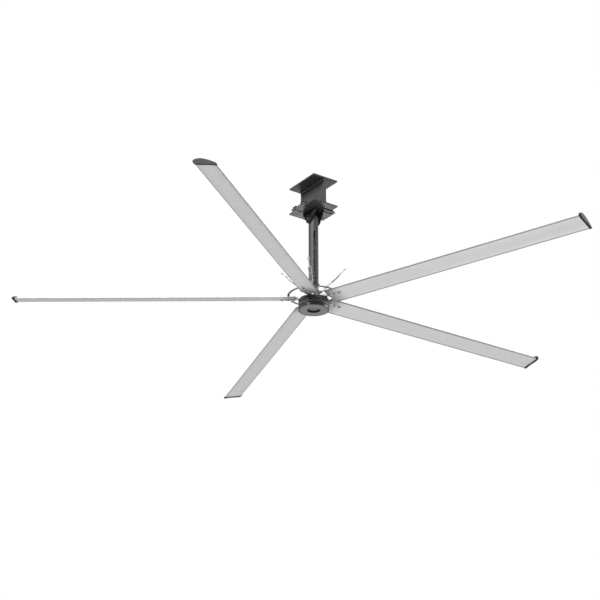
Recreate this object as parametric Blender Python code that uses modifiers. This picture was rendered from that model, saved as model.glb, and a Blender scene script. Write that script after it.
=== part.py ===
# High volume low speed ceiling fan, hung from a short I-beam, all lengths in metres
# The origin is the middle of the beam's top face, with +X along the beam and +Z up
import math

import bpy
import bmesh
from mathutils import Matrix, Vector

# Fits and mesh fineness
SEAT_GAP = 0.0003
RUN_GAP = 0.0004
HOLE_GAP = 0.0005
THROUGH = 0.010
WELD = 0.000001
SHARP_ANGLE = math.radians(32)
HUB_STEPS = 32
TUBE_STEPS = 24
RING_STEPS = 36
SMALL_STEPS = 16
SHANK_STEPS = 8
HEX_SIDES = 6
CORNER_STEPS = 3

# I-beam stub
BEAM_LENGTH = 0.438
BEAM_WIDTH = 0.305
BEAM_DEPTH = 0.308
BEAM_FLANGE = 0.0154
BEAM_WEB = 0.0099
BEAM_FILLET = 0.0152

# Mount plate under the beam
PLATE_WIDTH = 0.232
PLATE_THICK = 0.010
PLATE_CORNER = 0.015
SLOT_WIDTH = 0.014
SLOT_X = 0.068
SLOT_INNER = 0.062
SLOT_TO_PLATE_END = 0.021

# Clamps on the beam's lower flange
CLAMP_WIDTH = 0.044
CLAMP_TOE = 0.057
CLAMP_HEEL = 0.023
CLAMP_STEP = 0.0205
CLAMP_TO_FLANGE = 0.004
CLAMP_THICK = 0.016
CLAMP_TIP = 0.010
CLAMP_NOSE = 0.018
CLAMP_CHAMFER = 0.005
CLAMP_SHANK = 0.006
CLAMP_HEX = 0.0110
CLAMP_HEAD = 0.0075
CLAMP_NUT = 0.0100
CLAMP_BOLT_END = 0.0050

# Yoke
YOKE_LENGTH = 0.204
YOKE_GAUGE = 0.008
YOKE_INSIDE = 0.054
YOKE_BEND = 0.010
YOKE_INNER_BEND = 0.003
PIVOT_DROP = 0.1014
EAR_ROUND = 0.045
EAR_SHOULDER_DROP = 0.012
EAR_WAIST_DROP = 0.062
EAR_WAIST = 0.078
EAR_ARC_FROM = -10
EAR_ARC_TO = -170
EAR_ARC_STEPS = 8

# Studs pressed into the mount plate, with the nuts that hold the yoke
STUD_X = 0.080
STUD_Y = 0.030
STUD_SHANK = 0.006
STUD_HEX = 0.0110
STUD_NUT = 0.0100
STUD_END = 0.0030

# Pivot bolt, nut and sleeve
PIVOT_SHANK = 0.010
PIVOT_HEX = 0.0173
PIVOT_HEAD = 0.0125
PIVOT_NUT = 0.0160
PIVOT_BOLT_END = 0.0050
PIVOT_WASHER = 0.0185
PIVOT_WASHER_THICK = 0.003
SLEEVE_RADIUS = 0.016

# Downrod
ROD_RADIUS = 0.0508
ROD_WALL = 0.005
ROD_ABOVE_PIVOT = 0.040
ROD_BELOW_PIVOT = 0.748
CABLE_SLOT_WIDTH = 0.024
CABLE_SLOT_TOP = 0.611
CABLE_SLOT_BOTTOM = 0.093
CABLE_SLOT_AZIMUTH = -23

# Motor coupling and its screws
NECK_SHOWN = 0.054
NECK_RADIUS = 0.042
PLUG_ABOVE_ROD_END = 0.100
PLUG_BELOW_ROD_END = 0.003
PLUG_CHAMFER = 0.003
COUPLING_FLANGE = 0.062
COUPLING_FLANGE_THICK = 0.010
COUPLING_BORE = 0.028
COUPLING_SCREW_AZIMUTHS = (-23, -23, 67)
COUPLING_SCREW_RISES = (0.075, 0.026, 0.026)
COUPLING_SHANK = 0.004
COUPLING_SCREW_DEPTH = 0.018
COUPLING_HEAD = 0.0080
COUPLING_HEAD_THICK = 0.0045

# Guy bracket with its lugs, and the bolts through the flanges
BRACKET_SIDE = 0.140
BRACKET_THICK = 0.008
BRACKET_CHAMFER = 0.006
LUG_THICK = 0.006
LUG_ROOT_IN = 0.066
LUG_ROOT_OUT = 0.096
LUG_ROUND = 0.012
LUG_ARC_FROM = -50
LUG_ARC_TO = 140
LUG_ARC_STEPS = 5
GUY_PIN_RADIUS = 0.102
GUY_PIN_HEIGHT = 0.030
GUY_COUNT = 4
GUY_FIRST_AZIMUTH = 45
GUY_SLOPE = 43
FLANGE_BOLT_CIRCLE = 0.0515
FLANGE_BOLTS = 4
FLANGE_SHANK = 0.004
FLANGE_HEX = 0.0075
FLANGE_HEAD = 0.0053
FLANGE_NUT = 0.0065
FLANGE_BOLT_END = 0.0025

# Turnbuckles
JAW_WIDTH = 0.017
JAW_ROUND = 0.010
JAW_BASE = 0.031
SWIVEL_SHANK = 0.006
SWIVEL_HEAD = 0.0095
SWIVEL_HEAD_THICK = 0.007
SLEEVE_START = 0.0315
SLEEVE_END = 0.224
SLEEVE_HALF_WIDTH = 0.0165
SLEEVE_THICK = 0.018
SLEEVE_END_BOSS = 0.018
SLEEVE_WINDOW = 0.0105
SLEEVE_CORNER = 0.008
WINDOW_CORNER = 0.002
EYE_SHANK_START = 0.120
EYE_CENTRE = 0.306
EYE_OUTER = 0.017
EYE_HOLE = 0.0095
EYE_THICK = 0.008
EYE_SHANK = 0.006
EYE_ROOT = 0.003

# Motor shaft and what it carries, heights below the hub's top face
SHAFT_SHOWN = 0.0694
SHAFT_FLANGE = 0.060
SHAFT_FLANGE_THICK = 0.010
SHAFT_RADIUS = 0.037
SHAFT_SHOULDER_RISE = 0.002
SHOULDER_SEAT = 0.033
UPPER_SEAT = 0.030
CARRIER_SEAT = 0.028
LOWER_SEAT = 0.020
SHAFT_BORE = 0.012
SHAFT_BORE_DEPTH = 0.060
CABLE_HOLE = 0.006
CABLE_HOLE_DEPTH = 0.043
UPPER_BEARING_DEPTH = 0.0065
UPPER_BEARING_HEIGHT = 0.018
UPPER_BEARING_RADIUS = 0.0475
CARRIER_TOP_RADIUS = 0.0365
CARRIER_TOP_STEP = 0.034
CARRIER_HUB = 0.045
CARRIER_WEB = 0.008
CARRIER_RIM_IN = 0.077
CARRIER_RIM = 0.085
CARRIER_RIM_TOP = 0.030
CARRIER_RIM_BOTTOM = 0.062
CARRIER_WEB_TOP = 0.041
CARRIER_HUB_BOTTOM = 0.0605
SHAFT_NUT_RADIUS = 0.040
SHAFT_NUT_THICK = 0.008
LOWER_BEARING_DEPTH = 0.0700
LOWER_BEARING_HEIGHT = 0.015
LOWER_BEARING_RADIUS = 0.0340
LOWER_BEARING_SHOULDER = 0.0290
BEARING_RUN = 0.0003
BEARING_RACE_SHARE = 0.33
BEARING_SHIELD = 0.001
SHAFT_END_DEPTH = 0.0865
STATOR_RADIUS = 0.1305
STATOR_YOKE = 0.100
STATOR_TOP = 0.028
STATOR_BOTTOM = 0.064
STATOR_TEETH = 9
TOOTH_HALF = 0.017
TOOTH_TIP_HALF = 0.032
TOOTH_TIP = 0.004
COIL_TOP = 0.018
COIL_BOTTOM = 0.074
COIL_INNER = 0.1005
COIL_OUTER = 0.1185
COIL_OVERLAP = 0.002

# Hub drum, covers and magnets
HUB_RADIUS = 0.155
DRUM_INNER = 0.140
DRUM_DEPTH = 0.078
TOP_COVER_THICK = 0.014
TOP_BOSS_RADIUS = 0.058
TOP_BOSS_DEPTH = 0.031
TOP_LIP = 0.0345
TOP_EDGE_CHAMFER = 0.002
BOTTOM_DEPTH = 0.115
GROOVE_RADIUS = 0.149
GROOVE_DEPTH = 0.084
RIM_RADIUS = 0.1565
RIM_CHAMFER = 0.003
RECESS_RADIUS = 0.066
RECESS_DEEP = 0.022
RECESS_WALL = 0.008
BOTTOM_SKIN = 0.008
BOTTOM_FLOOR_DEPTH = 0.088
BOTTOM_BOSS = 0.042
BOTTOM_BOSS_TOP = 0.0705
MAGNETS = 12
MAGNET_THICK = 0.005
MAGNET_BACK = 0.0015
MAGNET_TOP = 0.024
MAGNET_BOTTOM = 0.068
MAGNET_SHARE = 0.86

# Blades
BLADES = 5
FIRST_BLADE = 18
BLADE_ROOT = 0.182
BLADE_TIP = 3.040
BLADE_PITCH = math.radians(14.5)
CHORD = 0.214
SPAR_FROM_NOSE = 0.0775
CHORD_RISE = 0.0074
SKIN = 0.0024
UPPER_SHARES = (
    (0.000, 0.000), (0.010, 0.027), (0.040, 0.056), (0.100, 0.087), (0.200, 0.114), (0.310, 0.1265),
    (0.415, 0.1265), (0.560, 0.111), (0.740, 0.074), (1.000, 0.006),
)
LOWER_SHARES = (
    (1.000, -0.002), (0.830, 0.009), (0.660, 0.003), (0.480, -0.011), (0.362, -0.020),
    (0.220, -0.028), (0.100, -0.027), (0.035, -0.019), (0.008, -0.009),
)
FRONT_CAVITY_SHARES = (0.040, 0.100, 0.200, 0.245)
REAR_CAVITY_SHARES = (0.480, 0.560, 0.740, 0.850)

# Arms inside the blade roots
ARM_WIDTH = 0.040
ARM_THICK = 0.023
ARM_START = 0.080
ARM_TWIST_START = 0.152
ARM_TWIST_END = 0.180
ARM_END = 0.340
ARM_TWIST_STEPS = 3
ARM_RISE = 0.0108
ARM_HUB_BOLTS = (0.098, 0.134)
ARM_SHANK = 0.005
ARM_HEX = 0.0098
ARM_HEAD = 0.0064
ARM_BOLT_DEPTH = 0.010

# Bolts through the blade roots, strips, safety ring and wedges
INNER_BLADE_BOLT = 0.195
RING_BOLT = 0.258
OUTER_BLADE_BOLT = 0.321
BLADE_NUT = 0.0080
BLADE_BOLT_END = 0.0030
STRIP_START = 0.186
STRIP_END = 0.345
STRIP_WIDTH = 0.022
STRIP_THICK = 0.005
RING_WIDTH = 0.022
RING_THICK = 0.005
RING_CLEAR = 0.0010
WEDGE_HALF = 0.010
WEDGE_LENGTH = 0.008
WEDGE_LEAST = 0.0015

# Tip caps, outline as (along the rotation, height) about the blade axis
CAP_THICK = 0.012
CAP_OUTLINE = (
    (0.091, 0.041), (0.083, 0.051), (0.071, 0.058), (0.044, 0.063), (0.015, 0.060), (-0.020, 0.047),
    (-0.062, 0.027), (-0.098, 0.005), (-0.134, -0.015), (-0.140, -0.023), (-0.136, -0.033), (-0.120, -0.030),
    (-0.085, -0.015), (-0.049, -0.005), (0.015, 0.000), (0.061, 0.010), (0.082, 0.024),
)

# Heights and places that follow from the sizes above
PLATE_TOP = -BEAM_DEPTH - SEAT_GAP
PLATE_BOTTOM = PLATE_TOP - PLATE_THICK
YOKE_TOP = PLATE_BOTTOM - SEAT_GAP
PIVOT_Z = YOKE_TOP - PIVOT_DROP
ROD_TOP = PIVOT_Z + ROD_ABOVE_PIVOT
ROD_BOTTOM = PIVOT_Z - ROD_BELOW_PIVOT
COUPLING_BOTTOM = ROD_BOTTOM - NECK_SHOWN - COUPLING_FLANGE_THICK
BRACKET_TOP = COUPLING_BOTTOM - SEAT_GAP
BRACKET_BOTTOM = BRACKET_TOP - BRACKET_THICK
SHAFT_TOP = BRACKET_BOTTOM - SEAT_GAP
HUB_TOP = SHAFT_TOP - SHAFT_FLANGE_THICK - SHAFT_SHOWN
GUY_PIN_Z = BRACKET_BOTTOM + GUY_PIN_HEIGHT
ROD_INNER = ROD_RADIUS - ROD_WALL
PLUG_RADIUS = ROD_INNER - HOLE_GAP
SLEEVE_HALF_LENGTH = YOKE_INSIDE - SEAT_GAP
YOKE_HALF = YOKE_INSIDE + YOKE_GAUGE
CLAMP_Y = BEAM_WIDTH / 2 + CLAMP_TO_FLANGE + CLAMP_STEP
SLOT_OUTER = CLAMP_Y + SLOT_WIDTH / 2
PLATE_LENGTH = 2 * (SLOT_OUTER + SLOT_TO_PLATE_END)
BLADE_BOLTS = (INNER_BLADE_BOLT, RING_BOLT, OUTER_BLADE_BOLT)


def clear_scene():
    for old in list(bpy.data.objects):
        bpy.data.objects.remove(old)


def named_collection(name):
    found = bpy.data.collections.new(name)
    bpy.context.scene.collection.children.link(found)
    return found


def material(name, colour, roughness, metallic):
    made = bpy.data.materials.new(name)
    made.use_nodes = True
    shader = made.node_tree.nodes["Principled BSDF"]
    shader.inputs["Base Color"].default_value = (*colour, 1)
    shader.inputs["Roughness"].default_value = roughness
    shader.inputs["Metallic"].default_value = metallic
    made.diffuse_color = (*colour, 1)
    return made


def baked(source):
    """The evaluated mesh of an object, which is then removed."""
    bpy.context.view_layer.update()
    graph = bpy.context.evaluated_depsgraph_get()
    mesh = bpy.data.meshes.new_from_object(source.evaluated_get(graph))
    work = bmesh.new()
    work.from_mesh(mesh)
    bmesh.ops.remove_doubles(work, verts=work.verts, dist=WELD)
    work.to_mesh(mesh)
    work.free()
    mesh.materials.clear()
    bpy.data.objects.remove(source)
    return mesh


def helper_object(data):
    made = bpy.data.objects.new("helper", data)
    bpy.context.scene.collection.objects.link(made)
    return made


def combined(mesh, other, operation):
    """The mesh after an exact Boolean with another mesh."""
    target = helper_object(mesh)
    tool = helper_object(other)
    step = target.modifiers.new("boolean", "BOOLEAN")
    step.solver = "EXACT"
    step.operation = operation
    step.object = tool
    result = baked(target)
    bpy.data.objects.remove(tool)
    return result


def cut(mesh, *cutters):
    for cutter in cutters:
        mesh = combined(mesh, cutter, "DIFFERENCE")
    return mesh


def joined(mesh, *others):
    for other in others:
        mesh = combined(mesh, other, "UNION")
    return mesh


def moved(mesh, matrix):
    mesh.transform(matrix)
    return mesh


def prism(outlines, thickness, plane="XY"):
    """A flat shape with holes, centred across its thickness, in the XY, XZ or YZ plane."""
    curve = bpy.data.curves.new("outline", "CURVE")
    curve.dimensions = "2D"
    curve.fill_mode = "BOTH"
    curve.extrude = thickness / 2
    for outline in outlines:
        spline = curve.splines.new("POLY")
        spline.points.add(len(outline) - 1)
        for point, (across, up) in zip(spline.points, outline):
            point.co = (across, up, 0, 1)
        spline.use_cyclic_u = True
    mesh = baked(helper_object(curve))
    if plane == "XZ":
        mesh.transform(Matrix(((1, 0, 0, 0), (0, 0, -1, 0), (0, 1, 0, 0), (0, 0, 0, 1))))
    if plane == "YZ":
        mesh.transform(Matrix(((0, 0, 1, 0), (1, 0, 0, 0), (0, 1, 0, 0), (0, 0, 0, 1))))
    return mesh


def turned(profile, steps, ring=True):
    """A solid of revolution about Z: profile points (radius, height) run down the outer side."""
    mesh = bpy.data.meshes.new("profile")
    count = len(profile)
    edges = [(i, i + 1) for i in range(count - 1)]
    if ring:
        edges.append((count - 1, 0))
    mesh.from_pydata([(radius, 0, height) for radius, height in profile], edges, [])
    source = helper_object(mesh)
    screw = source.modifiers.new("screw", "SCREW")
    screw.axis = "Z"
    screw.steps = steps
    screw.render_steps = steps
    screw.use_merge_vertices = True
    screw.merge_threshold = WELD
    screw.use_smooth_shade = True
    return baked(source)


def cylinder(radius, start, end, steps, sides_turn=0):
    """A closed cylinder about Z between two heights."""
    work = bmesh.new()
    middle = Matrix.Translation((0, 0, (start + end) / 2))
    turn = Matrix.Rotation(sides_turn, 4, "Z")
    bmesh.ops.create_cone(
        work, cap_ends=True, segments=steps, radius1=radius, radius2=radius, depth=end - start, matrix=middle @ turn
    )
    mesh = bpy.data.meshes.new("cylinder")
    work.to_mesh(mesh)
    work.free()
    return mesh


def box(size, centre):
    work = bmesh.new()
    bmesh.ops.create_cube(work, size=1, matrix=Matrix.Translation(centre) @ Matrix.Diagonal((*size, 1)))
    mesh = bpy.data.meshes.new("box")
    work.to_mesh(mesh)
    work.free()
    return mesh


def loft(sections):
    """A closed solid through loops of points, one loop after the other."""
    count = len(sections[0])
    points = [point for section in sections for point in section]
    faces = [tuple(reversed(range(count)))]
    for level in range(len(sections) - 1):
        for i in range(count):
            here = level * count
            there = here + count
            after = (i + 1) % count
            faces.append((here + i, here + after, there + after, there + i))
    faces.append(tuple(range(len(points) - count, len(points))))
    mesh = bpy.data.meshes.new("loft")
    mesh.from_pydata(points, [], faces)
    return mesh


def circle(radius, steps, centre=(0, 0)):
    turn = 2 * math.pi / steps
    return [
        (centre[0] + radius * math.cos(turn * i), centre[1] + radius * math.sin(turn * i)) for i in range(steps)
    ]


def arc(centre, radius, start, end, steps):
    """Points along an arc between two angles in degrees."""
    angles = [math.radians(start + (end - start) * i / steps) for i in range(steps + 1)]
    return [(centre[0] + radius * math.cos(a), centre[1] + radius * math.sin(a)) for a in angles]


def rounded_box(low, high, radius):
    """A rectangle's outline with round corners."""
    points = []
    for x, y, start in (
        (high[0] - radius, low[1] + radius, -90),
        (high[0] - radius, high[1] - radius, 0),
        (low[0] + radius, high[1] - radius, 90),
        (low[0] + radius, low[1] + radius, 180),
    ):
        points += arc((x, y), radius, start, start + 90, CORNER_STEPS)
    return points


def stadium(half_width, low, high, centre=0):
    """A slot's outline with round ends, long in the second direction."""
    top = arc((centre, high - half_width), half_width, 0, 180, SHANK_STEPS // 2)
    bottom = arc((centre, low + half_width), half_width, 180, 360, SHANK_STEPS // 2)
    return top + bottom


def around(azimuth, radius=0, height=0):
    """A place on a circle about Z, with X pointing outwards."""
    return Matrix.Rotation(math.radians(azimuth), 4, "Z") @ Matrix.Translation((radius, 0, height))


def hex_bolt(shank, length, hex_radius, head):
    """A bolt along Z: its head stands on z = 0 and its shank hangs below."""
    top = cylinder(hex_radius, 0, head, HEX_SIDES)
    return joined(top, cylinder(shank, -length, head / 2, SHANK_STEPS))


def button_screw(shank, length, head_radius, head):
    """A round-headed screw along Z, head above z = 0."""
    profile = [(0, head), (head_radius / 2, head), (head_radius, 0), (shank, 0), (shank, -length), (0, -length)]
    return turned(profile, SHANK_STEPS, ring=False)


def nut(hole, hex_radius, thick):
    """A nut standing on z = 0."""
    mesh = prism([circle(hex_radius, HEX_SIDES), circle(hole, SHANK_STEPS)], thick)
    return moved(mesh, Matrix.Translation((0, 0, thick / 2)))


def smoothed(mesh):
    mesh.polygons.foreach_set("use_smooth", [True] * len(mesh.polygons))
    mesh.set_sharp_from_angle(angle=SHARP_ANGLE)
    mesh.update()


def add(name, mesh, look, parent=None, location=(0, 0, 0), rotation=(0, 0, 0)):
    """A finished piece, with its location measured from its parent's."""
    mesh.name = name
    mesh.materials.clear()
    mesh.materials.append(look)
    smoothed(mesh)
    piece = bpy.data.objects.new(name, mesh)
    FAN.objects.link(piece)
    piece.parent = parent
    piece.location = location
    piece.rotation_euler = rotation
    return piece


def empty(name, parent=None, location=(0, 0, 0), rotation=(0, 0, 0)):
    made = bpy.data.objects.new(name, None)
    FAN.objects.link(made)
    made.parent = parent
    made.location = location
    made.rotation_euler = rotation
    return made


def make_beam():
    half = BEAM_WIDTH / 2
    web = BEAM_WEB / 2
    inner = -BEAM_FLANGE
    lower = -BEAM_DEPTH + BEAM_FLANGE
    fillet = BEAM_FILLET
    right = [(half, -BEAM_DEPTH), (half, lower)]
    right += arc((web + fillet, lower + fillet), fillet, 270, 180, CORNER_STEPS)
    right += arc((web + fillet, inner - fillet), fillet, 180, 90, CORNER_STEPS)
    right += [(half, inner), (half, 0)]
    left = [(-across, height) for across, height in reversed(right)]
    add("i_beam_stub", prism([right + left], BEAM_LENGTH, "YZ"), STEEL_GREY)


def make_mount_plate():
    half = (PLATE_WIDTH / 2, PLATE_LENGTH / 2)
    outlines = [rounded_box((-half[0], -half[1]), half, PLATE_CORNER)]
    for x in (-SLOT_X, SLOT_X):
        outlines.append(stadium(SLOT_WIDTH / 2, SLOT_INNER, SLOT_OUTER, x))
        outlines.append(stadium(SLOT_WIDTH / 2, -SLOT_OUTER, -SLOT_INNER, x))
    mesh = prism(outlines, PLATE_THICK)
    low = -PLATE_THICK / 2
    nut_top = low - YOKE_GAUGE - 2 * SEAT_GAP
    nut_low = nut_top - STUD_NUT
    for x, y in stud_places():
        stud = cylinder(STUD_SHANK, nut_low - STUD_END, 0, SHANK_STEPS)
        stud = joined(stud, cylinder(STUD_HEX, nut_low, nut_top, HEX_SIDES))
        mesh = joined(mesh, moved(stud, Matrix.Translation((x, y, 0))))
    add("mount_plate", mesh, PLATE_GREY, None, (0, 0, PLATE_TOP - PLATE_THICK / 2))


def stud_places():
    return [(x, y) for x in (-STUD_X, STUD_X) for y in (-STUD_Y, STUD_Y)]


def make_clamps():
    base = SEAT_GAP
    flange = BEAM_FLANGE + 2 * SEAT_GAP
    top = flange + CLAMP_THICK
    outline = [
        (CLAMP_HEEL, base), (CLAMP_HEEL, top - CLAMP_CHAMFER), (CLAMP_HEEL - CLAMP_CHAMFER, top),
        (-CLAMP_TOE + CLAMP_NOSE, top), (-CLAMP_TOE, flange + CLAMP_TIP), (-CLAMP_TOE, flange),
        (-CLAMP_STEP, flange), (-CLAMP_STEP, base),
    ]
    clamp = prism([outline], CLAMP_WIDTH, "YZ")
    under = -PLATE_THICK - SEAT_GAP
    nut_low = top - WELD
    nut_top = nut_low + CLAMP_NUT
    clamp = joined(
        clamp,
        cylinder(CLAMP_SHANK, under - CLAMP_HEAD / 2, nut_top + CLAMP_BOLT_END, SHANK_STEPS),
        cylinder(CLAMP_HEX, under - CLAMP_HEAD, under, HEX_SIDES),
        cylinder(CLAMP_HEX, nut_low, nut_top, HEX_SIDES),
    )
    places = [(-SLOT_X, CLAMP_Y, 0), (SLOT_X, CLAMP_Y, 0), (-SLOT_X, -CLAMP_Y, math.pi), (SLOT_X, -CLAMP_Y, math.pi)]
    for i, (x, y, turn) in enumerate(places):
        add(f"beam_clamp_{i + 1}", clamp.copy(), CLAMP_ZINC, None, (x, y, PLATE_TOP), (0, 0, turn))


def make_yoke():
    outer = YOKE_HALF
    inner = YOKE_INSIDE
    low = -PIVOT_DROP - EAR_ROUND - THROUGH
    right = [(inner, low), (outer, low)]
    right += arc((outer - YOKE_BEND, -YOKE_BEND), YOKE_BEND, 0, 90, CORNER_STEPS)
    left = [(-across, height) for across, height in reversed(right)]
    under = -YOKE_GAUGE - YOKE_INNER_BEND
    inside = arc((-inner + YOKE_INNER_BEND, under), YOKE_INNER_BEND, 180, 90, CORNER_STEPS)
    inside += arc((inner - YOKE_INNER_BEND, under), YOKE_INNER_BEND, 90, 0, CORNER_STEPS)
    channel = prism([right + left + inside], YOKE_LENGTH, "YZ")
    half = YOKE_LENGTH / 2
    ear = [(half, THROUGH), (-half, THROUGH), (-half, -EAR_SHOULDER_DROP), (-EAR_WAIST, -EAR_WAIST_DROP)]
    ear += arc((0, -PIVOT_DROP), EAR_ROUND, EAR_ARC_TO, EAR_ARC_FROM, EAR_ARC_STEPS)
    ear += [(EAR_WAIST, -EAR_WAIST_DROP), (half, -EAR_SHOULDER_DROP)]
    mesh = combined(channel, prism([ear], 2 * YOKE_HALF + THROUGH, "XZ"), "INTERSECT")
    pin = cylinder(PIVOT_SHANK + HOLE_GAP, -YOKE_HALF - THROUGH, YOKE_HALF + THROUGH, SMALL_STEPS)
    pin = moved(pin, Matrix.Translation((0, 0, -PIVOT_DROP)) @ Matrix.Rotation(math.pi / 2, 4, "X"))
    mesh = cut(mesh, pin)
    for x, y in stud_places():
        hole = cylinder(STUD_SHANK + HOLE_GAP, -YOKE_GAUGE - THROUGH, THROUGH, SHANK_STEPS)
        mesh = cut(mesh, moved(hole, Matrix.Translation((x, y, 0))))
    add("yoke", mesh, BLACK_PAINT, None, (0, 0, YOKE_TOP))


def make_pivot():
    across = Matrix.Rotation(math.pi / 2, 4, "X")
    washer = PIVOT_WASHER_THICK
    outside = YOKE_HALF + SEAT_GAP
    length = 2 * outside + 2 * washer + PIVOT_NUT + SEAT_GAP + PIVOT_BOLT_END
    bolt = hex_bolt(PIVOT_SHANK, length, PIVOT_HEX, PIVOT_HEAD)
    bolt = moved(bolt, Matrix.Translation((0, 0, outside + washer)))
    bolt = joined(bolt, cylinder(PIVOT_WASHER, outside, outside + washer + WELD, SMALL_STEPS))
    add("pivot_bolt", moved(bolt, across), PIVOT_ZINC, None, (0, 0, PIVOT_Z))
    pivot_nut = nut(PIVOT_SHANK + HOLE_GAP, PIVOT_HEX, PIVOT_NUT)
    pivot_nut = moved(pivot_nut, Matrix.Translation((0, 0, washer - WELD)))
    collar = [circle(PIVOT_WASHER, SMALL_STEPS), circle(PIVOT_SHANK + HOLE_GAP, SHANK_STEPS)]
    flange = moved(prism(collar, washer), Matrix.Translation((0, 0, washer / 2)))
    pivot_nut = joined(pivot_nut, flange)
    turn = Matrix.Translation((0, outside, 0)) @ Matrix.Rotation(-math.pi / 2, 4, "X")
    add("pivot_nut", moved(pivot_nut, turn), NUT_ZINC, None, (0, 0, PIVOT_Z))


def make_downrod(tilt):
    length = ROD_TOP - ROD_BOTTOM
    mesh = prism([circle(ROD_RADIUS, TUBE_STEPS), circle(ROD_INNER, TUBE_STEPS)], length)
    mesh = moved(mesh, Matrix.Translation((0, 0, length / 2)))
    across = Matrix.Translation((0, 0, PIVOT_Z - ROD_BOTTOM)) @ Matrix.Rotation(math.pi / 2, 4, "X")
    reach = ROD_RADIUS + THROUGH
    mesh = cut(mesh, moved(cylinder(SLEEVE_RADIUS + HOLE_GAP, -reach, reach, SMALL_STEPS), across))
    slot = prism([stadium(CABLE_SLOT_WIDTH / 2, CABLE_SLOT_BOTTOM, CABLE_SLOT_TOP)], ROD_RADIUS, "XZ")
    slot = moved(slot, Matrix.Rotation(math.pi / 2, 4, "Z"))
    mesh = cut(mesh, moved(slot, around(CABLE_SLOT_AZIMUTH, ROD_RADIUS)))
    for place in coupling_screw_places():
        hole = cylinder(COUPLING_SHANK + HOLE_GAP, -2 * ROD_WALL, THROUGH, SHANK_STEPS)
        mesh = cut(mesh, moved(hole, place))
    add("downrod", mesh, ROD_GREY, tilt, (0, 0, ROD_BOTTOM - PIVOT_Z))


def coupling_screw_places():
    """Frames on the downrod's outside, Z outwards, with heights from the rod's lower end."""
    outwards = Matrix.Rotation(math.pi / 2, 4, "Y")
    return [around(azimuth, ROD_RADIUS, rise) @ outwards for azimuth, rise in coupling_screws()]


def coupling_screws():
    return list(zip(COUPLING_SCREW_AZIMUTHS, COUPLING_SCREW_RISES))


def make_pivot_sleeve(tilt):
    outlines = [circle(SLEEVE_RADIUS, SMALL_STEPS), circle(PIVOT_SHANK + HOLE_GAP / 2, SMALL_STEPS)]
    add("pivot_sleeve", prism(outlines, 2 * SLEEVE_HALF_LENGTH, "XZ"), SLEEVE_STEEL, tilt)


def make_coupling(tilt):
    flange = COUPLING_FLANGE_THICK
    neck = flange + NECK_SHOWN
    plug_low = neck - PLUG_BELOW_ROD_END
    plug_top = neck + PLUG_ABOVE_ROD_END
    profile = [
        (COUPLING_BORE, plug_top), (PLUG_RADIUS - PLUG_CHAMFER, plug_top), (PLUG_RADIUS, plug_top - PLUG_CHAMFER),
        (PLUG_RADIUS, plug_low), (NECK_RADIUS, plug_low - PLUG_CHAMFER), (NECK_RADIUS, flange),
        (COUPLING_FLANGE, flange), (COUPLING_FLANGE, 0), (COUPLING_BORE, 0),
    ]
    mesh = turned(profile, TUBE_STEPS)
    for place in coupling_screw_places():
        hole = cylinder(COUPLING_SHANK + HOLE_GAP, -COUPLING_SCREW_DEPTH - RUN_GAP, THROUGH, SHANK_STEPS)
        mesh = cut(mesh, moved(hole, Matrix.Translation((0, 0, neck)) @ place))
    mesh = cut(mesh, *flange_holes(0, flange))
    add("motor_coupling", mesh, COUPLING_GREY, tilt, (0, 0, COUPLING_BOTTOM - PIVOT_Z))
    screw = button_screw(COUPLING_SHANK, COUPLING_SCREW_DEPTH, COUPLING_HEAD, COUPLING_HEAD_THICK)
    screw = moved(screw, Matrix.Rotation(math.pi / 2, 4, "Y"))
    for i, (azimuth, rise) in enumerate(coupling_screws()):
        turn = math.radians(azimuth)
        out = ROD_RADIUS + SEAT_GAP
        spot = (out * math.cos(turn), out * math.sin(turn), ROD_BOTTOM - PIVOT_Z + rise)
        add(f"coupling_screw_{i + 1}", screw.copy(), DARK_SCREW, tilt, spot, (0, 0, turn))


def flange_places():
    return [around(360 * i / FLANGE_BOLTS, FLANGE_BOLT_CIRCLE) for i in range(FLANGE_BOLTS)]


def flange_holes(low, high):
    radius = FLANGE_SHANK + HOLE_GAP
    return [moved(cylinder(radius, low - THROUGH, high + THROUGH, SHANK_STEPS), place) for place in flange_places()]


def guy_azimuths():
    return [GUY_FIRST_AZIMUTH + 360 * i / GUY_COUNT for i in range(GUY_COUNT)]


def make_guy_bracket(tilt):
    half = BRACKET_SIDE / 2
    corner = half - BRACKET_CHAMFER
    outline = [
        (half, -corner), (half, corner), (corner, half), (-corner, half),
        (-half, corner), (-half, -corner), (-corner, -half), (corner, -half),
    ]
    mesh = prism([outline, circle(COUPLING_BORE, SMALL_STEPS)], BRACKET_THICK)
    mesh = moved(mesh, Matrix.Translation((0, 0, BRACKET_THICK / 2)))
    mesh = cut(mesh, *flange_holes(0, BRACKET_THICK))
    root = BRACKET_THICK / 2
    lug_outline = [(LUG_ROOT_IN, root), (LUG_ROOT_OUT, root)]
    lug_outline += arc((GUY_PIN_RADIUS, GUY_PIN_HEIGHT), LUG_ROUND, LUG_ARC_FROM, LUG_ARC_TO, LUG_ARC_STEPS)
    lug_outline += [(LUG_ROOT_IN, BRACKET_THICK + LUG_THICK)]
    for azimuth in guy_azimuths():
        lug = prism([lug_outline], LUG_THICK, "XZ")
        mesh = joined(mesh, moved(lug, around(azimuth)))
        stud = guy_stud()
        mesh = joined(mesh, moved(stud, guy_frame(azimuth, GUY_PIN_HEIGHT)))
    add("guy_bracket", mesh, BRACKET_GREY, tilt, (0, 0, BRACKET_BOTTOM - PIVOT_Z))


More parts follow.
